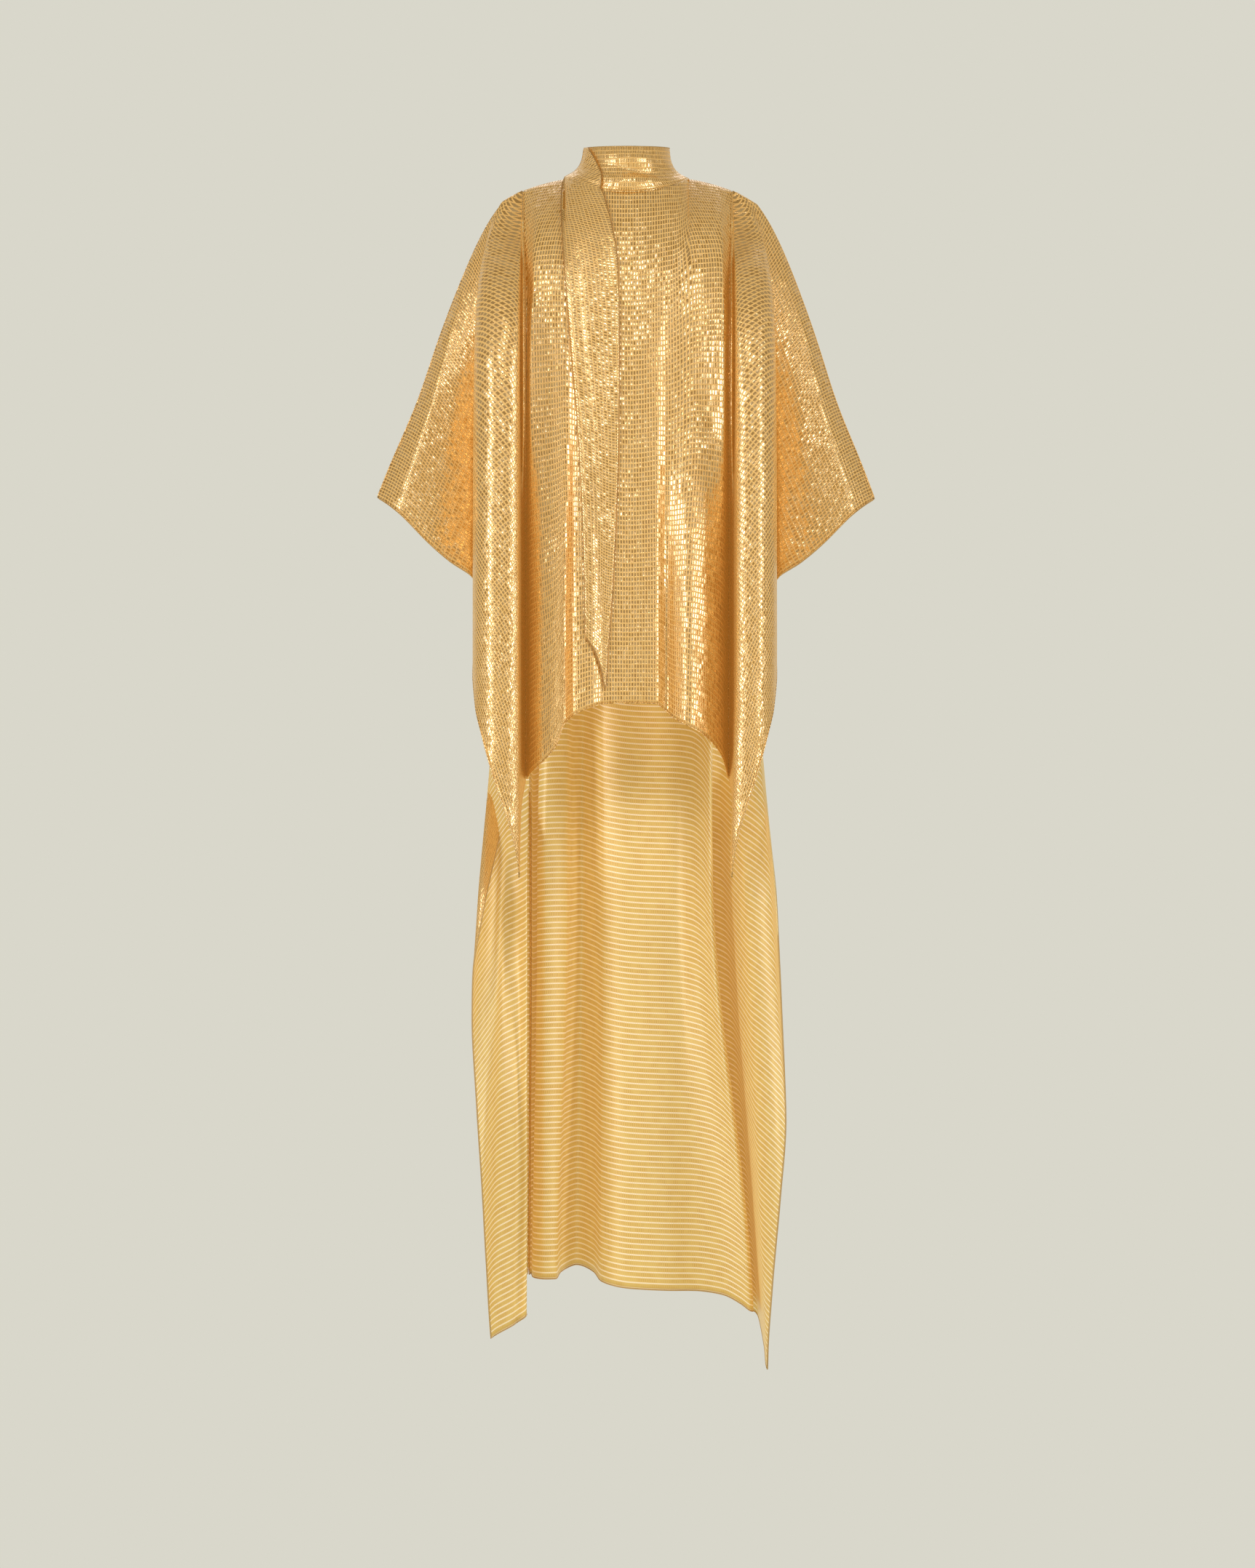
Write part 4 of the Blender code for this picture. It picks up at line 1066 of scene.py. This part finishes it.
def make_collar(look):
    """Funnel collar with soft draped folds, its top edge and its neck seam."""
    columns, rows = COLLAR_GRID
    turn, height = laid_out(np.linspace(-0.5, 0.5, columns + 1), np.linspace(1, 0, rows + 1))
    points = collar_shape(turn, height)
    around = 2 * math.pi * NECK_HALF
    cloth = np.stack([turn * around, run_of(points, 0)], -1)
    direction = points * (1, 1, 0)
    points = creased(points, cloth, COLLAR_CREASES, direction)
    points[:, -1] = points[:, 0]
    collar = cloth_shell(look, "collar", points, cloth, direction, "collar")
    top = thread_line("collar_top_edge", points[0], SEAM_THREAD, overlock(look))
    seam_points = points[-1] - (0, 0, NECK_SEAM_DROP)
    seam = thread_line("collar_neck_seam", seam_points, NECK_THREAD, metallic(look, "collar"))


def make_scarf(look):
    """Hanging end of the scarf with its thread edges."""
    points = scarf_shape(*SCARF_GRID)
    cloth = np.stack([run_of(points, 0), run_of(points, 1)], -1)
    points = creased(points, cloth[..., ::-1], SCARF_CREASES, (0, -1, 0))
    scarf = cloth_shell(look, "scarf", points, cloth, (0, -1, 0), "scarf", "scarf_cloth")
    # painted shade: the edge threads' darkened colour stands for the shadow lines along the scarf's edges
    dark = the_material("scarf_shadow_thread", scarf_shadow_thread_look, look)
    edges = [
        thread_line("scarf_right_edge", points[:, -1], SCARF_THREAD, dark),
        thread_line("scarf_left_edge", points[:, 0], SCARF_THREAD, dark),
        thread_line("scarf_end_edge", points[-1], EDGE_THREAD, dark),
    ]


def make_backdrop(stage):
    """Paper floor, which rises behind the garment in one curve."""
    profile = [(BACKDROP_NEAR, 0.0)]
    for turn in np.linspace(0, math.pi / 2, BACKDROP_STEPS):
        back, up = math.sin(turn), 1 - math.cos(turn)
        profile.append((BACKDROP_FAR + BACKDROP_BEND * back, BACKDROP_BEND * up))
    profile.append((BACKDROP_FAR + BACKDROP_BEND, BACKDROP_TALL))
    across = (-BACKDROP_HALF, BACKDROP_HALF)
    points = np.array([[(x, y, FLOOR_HEIGHT + z) for x in across] for y, z in profile])
    paper = the_material("pale_backdrop", paper_look, stage)
    return shown("backdrop", lay_mesh("backdrop", points, points[..., :2], False), paper)


def make_lamp(name, place, target, size, power):
    """Soft box that faces a target."""
    light = bpy.data.lights.new(name, "AREA")
    light.shape = "RECTANGLE"
    light.size, light.size_y = size
    light.energy = power
    light.color = LAMP_COLOUR
    lamp = shown(name, light)
    lamp.location = place
    lamp.rotation_euler = (Vector(target) - Vector(place)).to_track_quat("-Z", "Y").to_euler()
    return lamp


def make_stage(stage):
    """Backdrop, soft boxes, even sky and the camera."""
    things = [make_backdrop(stage)]
    for name, place, target, size, power in LAMPS[1:]:
        things.append(make_lamp(name, place, target, size, power * stage.lamp_strength))
    world = bpy.data.worlds.new("studio")
    bpy.context.scene.world = world
    world.use_nodes = True
    sky = world.node_tree.nodes["Background"]
    sky.inputs["Color"].default_value = solid(stage.sky_colour)
    sky.inputs["Strength"].default_value = stage.sky_strength
    camera = shown("camera", bpy.data.cameras.new("camera"))
    camera.location = CAMERA_PLACE
    camera.rotation_euler = (math.pi / 2, 0, 0)
    camera.data.sensor_width = SENSOR_WIDTH
    camera.data.lens = SENSOR_WIDTH * -CAMERA_PLACE[1] / VIEW_HEIGHT
    bpy.context.scene.camera = camera
    bpy.context.scene.view_settings.view_transform = "Standard"


def colour_property(name, text, value):
    """Colour a user may change."""
    return bpy.props.FloatVectorProperty(name=name, description=text, default=value, subtype="COLOR",
                                         size=3, min=0.0, max=1.0)


def length_property(name, text, value):
    """Length a user may change, in metres."""
    return bpy.props.FloatProperty(name=name, description=text, default=value, min=0.0005, unit="LENGTH",
                                   precision=4)


def share_property(name, text, value):
    """Share a user may change."""
    return bpy.props.FloatProperty(name=name, description=text, default=value, min=0.0, soft_max=1.0,
                                   subtype="FACTOR")


class KaftanLook(bpy.types.PropertyGroup):
    """Weave and colours of the cloth"""
    cell_width: length_property("Body cell width", "Weave cell across the bodies", 0.0035)
    cell_height: length_property("Body cell height", "Weave cell down the bodies", 0.0067)
    wing_cell_width: length_property("Sleeve cell width", "Weave cell across the sleeves", 0.0044)
    wing_cell_height: length_property("Sleeve cell height", "Weave cell down the sleeves", 0.0050)
    collar_cell_width: length_property("Collar cell width", "Weave cell round the collar", 0.0031)
    collar_cell_height: length_property("Collar cell height", "Weave cell up the collar", 0.0056)
    scarf_cell_down: length_property("Scarf cell height", "Weave cell down the scarf", 0.0036)
    scarf_cell_across: length_property("Scarf cell width", "Weave cell across the scarf", 0.0066)
    bar_spacing: length_property("Bar spacing", "Distance between the inner face's pale bars", 0.0073)
    tick_spacing: length_property("Tick spacing", "Distance between the ticks on the inner face", 0.0024)
    thread_across: share_property("Upright threads", "Share of a cell's width under the thread", 0.34)
    thread_down: share_property("Level threads", "Share of a cell's height under the thread", 0.20)
    cell_bow: share_property("Cell bow", "How much each metallic cell is bowed", 0.40)
    cell_tilt: share_property("Cell tilt", "How differently the metallic cells face", 0.20)
    cell_sway: share_property("Cell sway", "How much neighbouring cells face alike", 0.30)
    cell_roughness: share_property("Cell roughness", "Roughness of the metallic cells", 0.24)
    cell_colour: colour_property("Cell", "Metallic cells", (0.79, 0.55, 0.26))
    cell_deep_colour: colour_property("Deep cell", "Darker metallic cells", (0.44, 0.225, 0.055))
    thread_colour: colour_property("Thread", "Threads between the cells", (0.79, 0.455, 0.12))
    # painted light: the two settings below set an emission glow of the metallic face that lifts its shade
    painted_outer_glow: share_property("Outer glow", "Light that comes through the cloth to its outer face", 0.09)
    painted_outer_glow_colour: colour_property("Metallic glow", "Light that comes through the metallic face",
                                       (1.0, 0.52, 0.08))
    inner_colour: colour_property("Inner face", "Ground of the inner face", (0.655, 0.455, 0.125))
    inner_deep_colour: colour_property("Inner shade", "Ticks of the inner face", (0.52, 0.285, 0.055))
    bar_colour: colour_property("Bar", "Pale bars of the inner face", (0.92, 0.76, 0.48))
    # painted light: the two settings below set an emission glow of the inner face that lifts its shade
    painted_inner_glow_colour: colour_property("Glow", "Light that comes through the cloth", (0.96, 0.63, 0.155))
    painted_inner_glow: share_property("Inner glow", "Light that comes through the cloth to its inner face", 0.20)
    edge_colour: colour_property("Overlock", "Thread of the overlocked edges", (0.80, 0.54, 0.20))
    edge_deep_colour: colour_property("Overlock shade", "Between the stitches", (0.46, 0.25, 0.06))
    # painted shade: darkened thread of the scarf's edges, standing for the shadow lines along them
    scarf_edge_shadow_colour: colour_property("Scarf edge", "Thread of the scarf's edges", (0.40, 0.19, 0.04))


class KaftanStage(bpy.types.PropertyGroup):
    """Light and backdrop"""
    backdrop_colour: colour_property("Backdrop", "Paper of floor and backdrop", (0.694, 0.680, 0.597))
    backdrop_glow: share_property("Backdrop glow", "Light of the paper itself", 1.0)
    sky_colour: colour_property("Sky", "Even light from all round", (1.0, 0.98, 0.94))
    sky_strength: share_property("Sky strength", "Strength of the even light", 0.37)
    lamp_strength: bpy.props.FloatProperty(name="Lamps", description="Strength of the soft boxes",
                                           default=1.0, min=0.0)


class KAFTAN_OT_bodies(bpy.types.Operator):
    """Lays the front and back panels"""
    bl_idname = "kaftan.bodies"
    bl_label = "Front and back panels"

    def execute(self, context):
        make_bodies(context.scene.kaftan_look)
        return {"FINISHED"}


class KAFTAN_OT_front_wings(bpy.types.Operator):
    """Lays the front halves of the sleeves"""
    bl_idname = "kaftan.front_wings"
    bl_label = "Front sleeve halves"

    def execute(self, context):
        make_front_wings(context.scene.kaftan_look)
        return {"FINISHED"}


class KAFTAN_OT_back_wings(bpy.types.Operator):
    """Lays the back halves of the sleeves"""
    bl_idname = "kaftan.back_wings"
    bl_label = "Back sleeve halves"

    def execute(self, context):
        make_back_wings(context.scene.kaftan_look)
        return {"FINISHED"}


class KAFTAN_OT_collar(bpy.types.Operator):
    """Lays the funnel collar"""
    bl_idname = "kaftan.collar"
    bl_label = "Collar"

    def execute(self, context):
        make_collar(context.scene.kaftan_look)
        return {"FINISHED"}


class KAFTAN_OT_scarf(bpy.types.Operator):
    """Lays the hanging scarf end"""
    bl_idname = "kaftan.scarf"
    bl_label = "Scarf"

    def execute(self, context):
        make_scarf(context.scene.kaftan_look)
        return {"FINISHED"}


class KAFTAN_OT_stage(bpy.types.Operator):
    """Sets the backdrop, the lamps and the camera"""
    bl_idname = "kaftan.stage"
    bl_label = "Studio stage"

    def execute(self, context):
        make_stage(context.scene.kaftan_stage)
        return {"FINISHED"}


STEPS = (KAFTAN_OT_bodies, KAFTAN_OT_front_wings, KAFTAN_OT_back_wings, KAFTAN_OT_collar, KAFTAN_OT_scarf,
         KAFTAN_OT_stage)


class KAFTAN_PT_panel(bpy.types.Panel):
    """Steps and settings of the kaftan"""
    bl_label = "Worn kaftan"
    bl_idname = "KAFTAN_PT_panel"
    bl_space_type = "VIEW_3D"
    bl_region_type = "UI"
    bl_category = "Kaftan"

    def draw(self, context):
        for step in STEPS:
            self.layout.operator(step.bl_idname)
        for group in (context.scene.kaftan_look, context.scene.kaftan_stage):
            for name in group.__annotations__:
                self.layout.prop(group, name)


CLASSES = (KaftanLook, KaftanStage, *STEPS, KAFTAN_PT_panel)


def register():
    """Adds the classes and the scene's settings."""
    for made in CLASSES:
        bpy.utils.register_class(made)
    bpy.types.Scene.kaftan_look = bpy.props.PointerProperty(type=KaftanLook)
    bpy.types.Scene.kaftan_stage = bpy.props.PointerProperty(type=KaftanStage)


def unregister():
    """Takes them away again."""
    del bpy.types.Scene.kaftan_stage
    del bpy.types.Scene.kaftan_look
    for made in reversed(CLASSES):
        bpy.utils.unregister_class(made)


def main():
    """Builds the dressed kaftan."""
    register()
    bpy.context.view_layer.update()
    bpy.ops.kaftan.bodies()
    bpy.ops.kaftan.front_wings()
    bpy.ops.kaftan.back_wings()
    bpy.ops.kaftan.collar()
    bpy.ops.kaftan.scarf()
    bpy.ops.kaftan.stage()


if __name__ == "__main__":
    main()
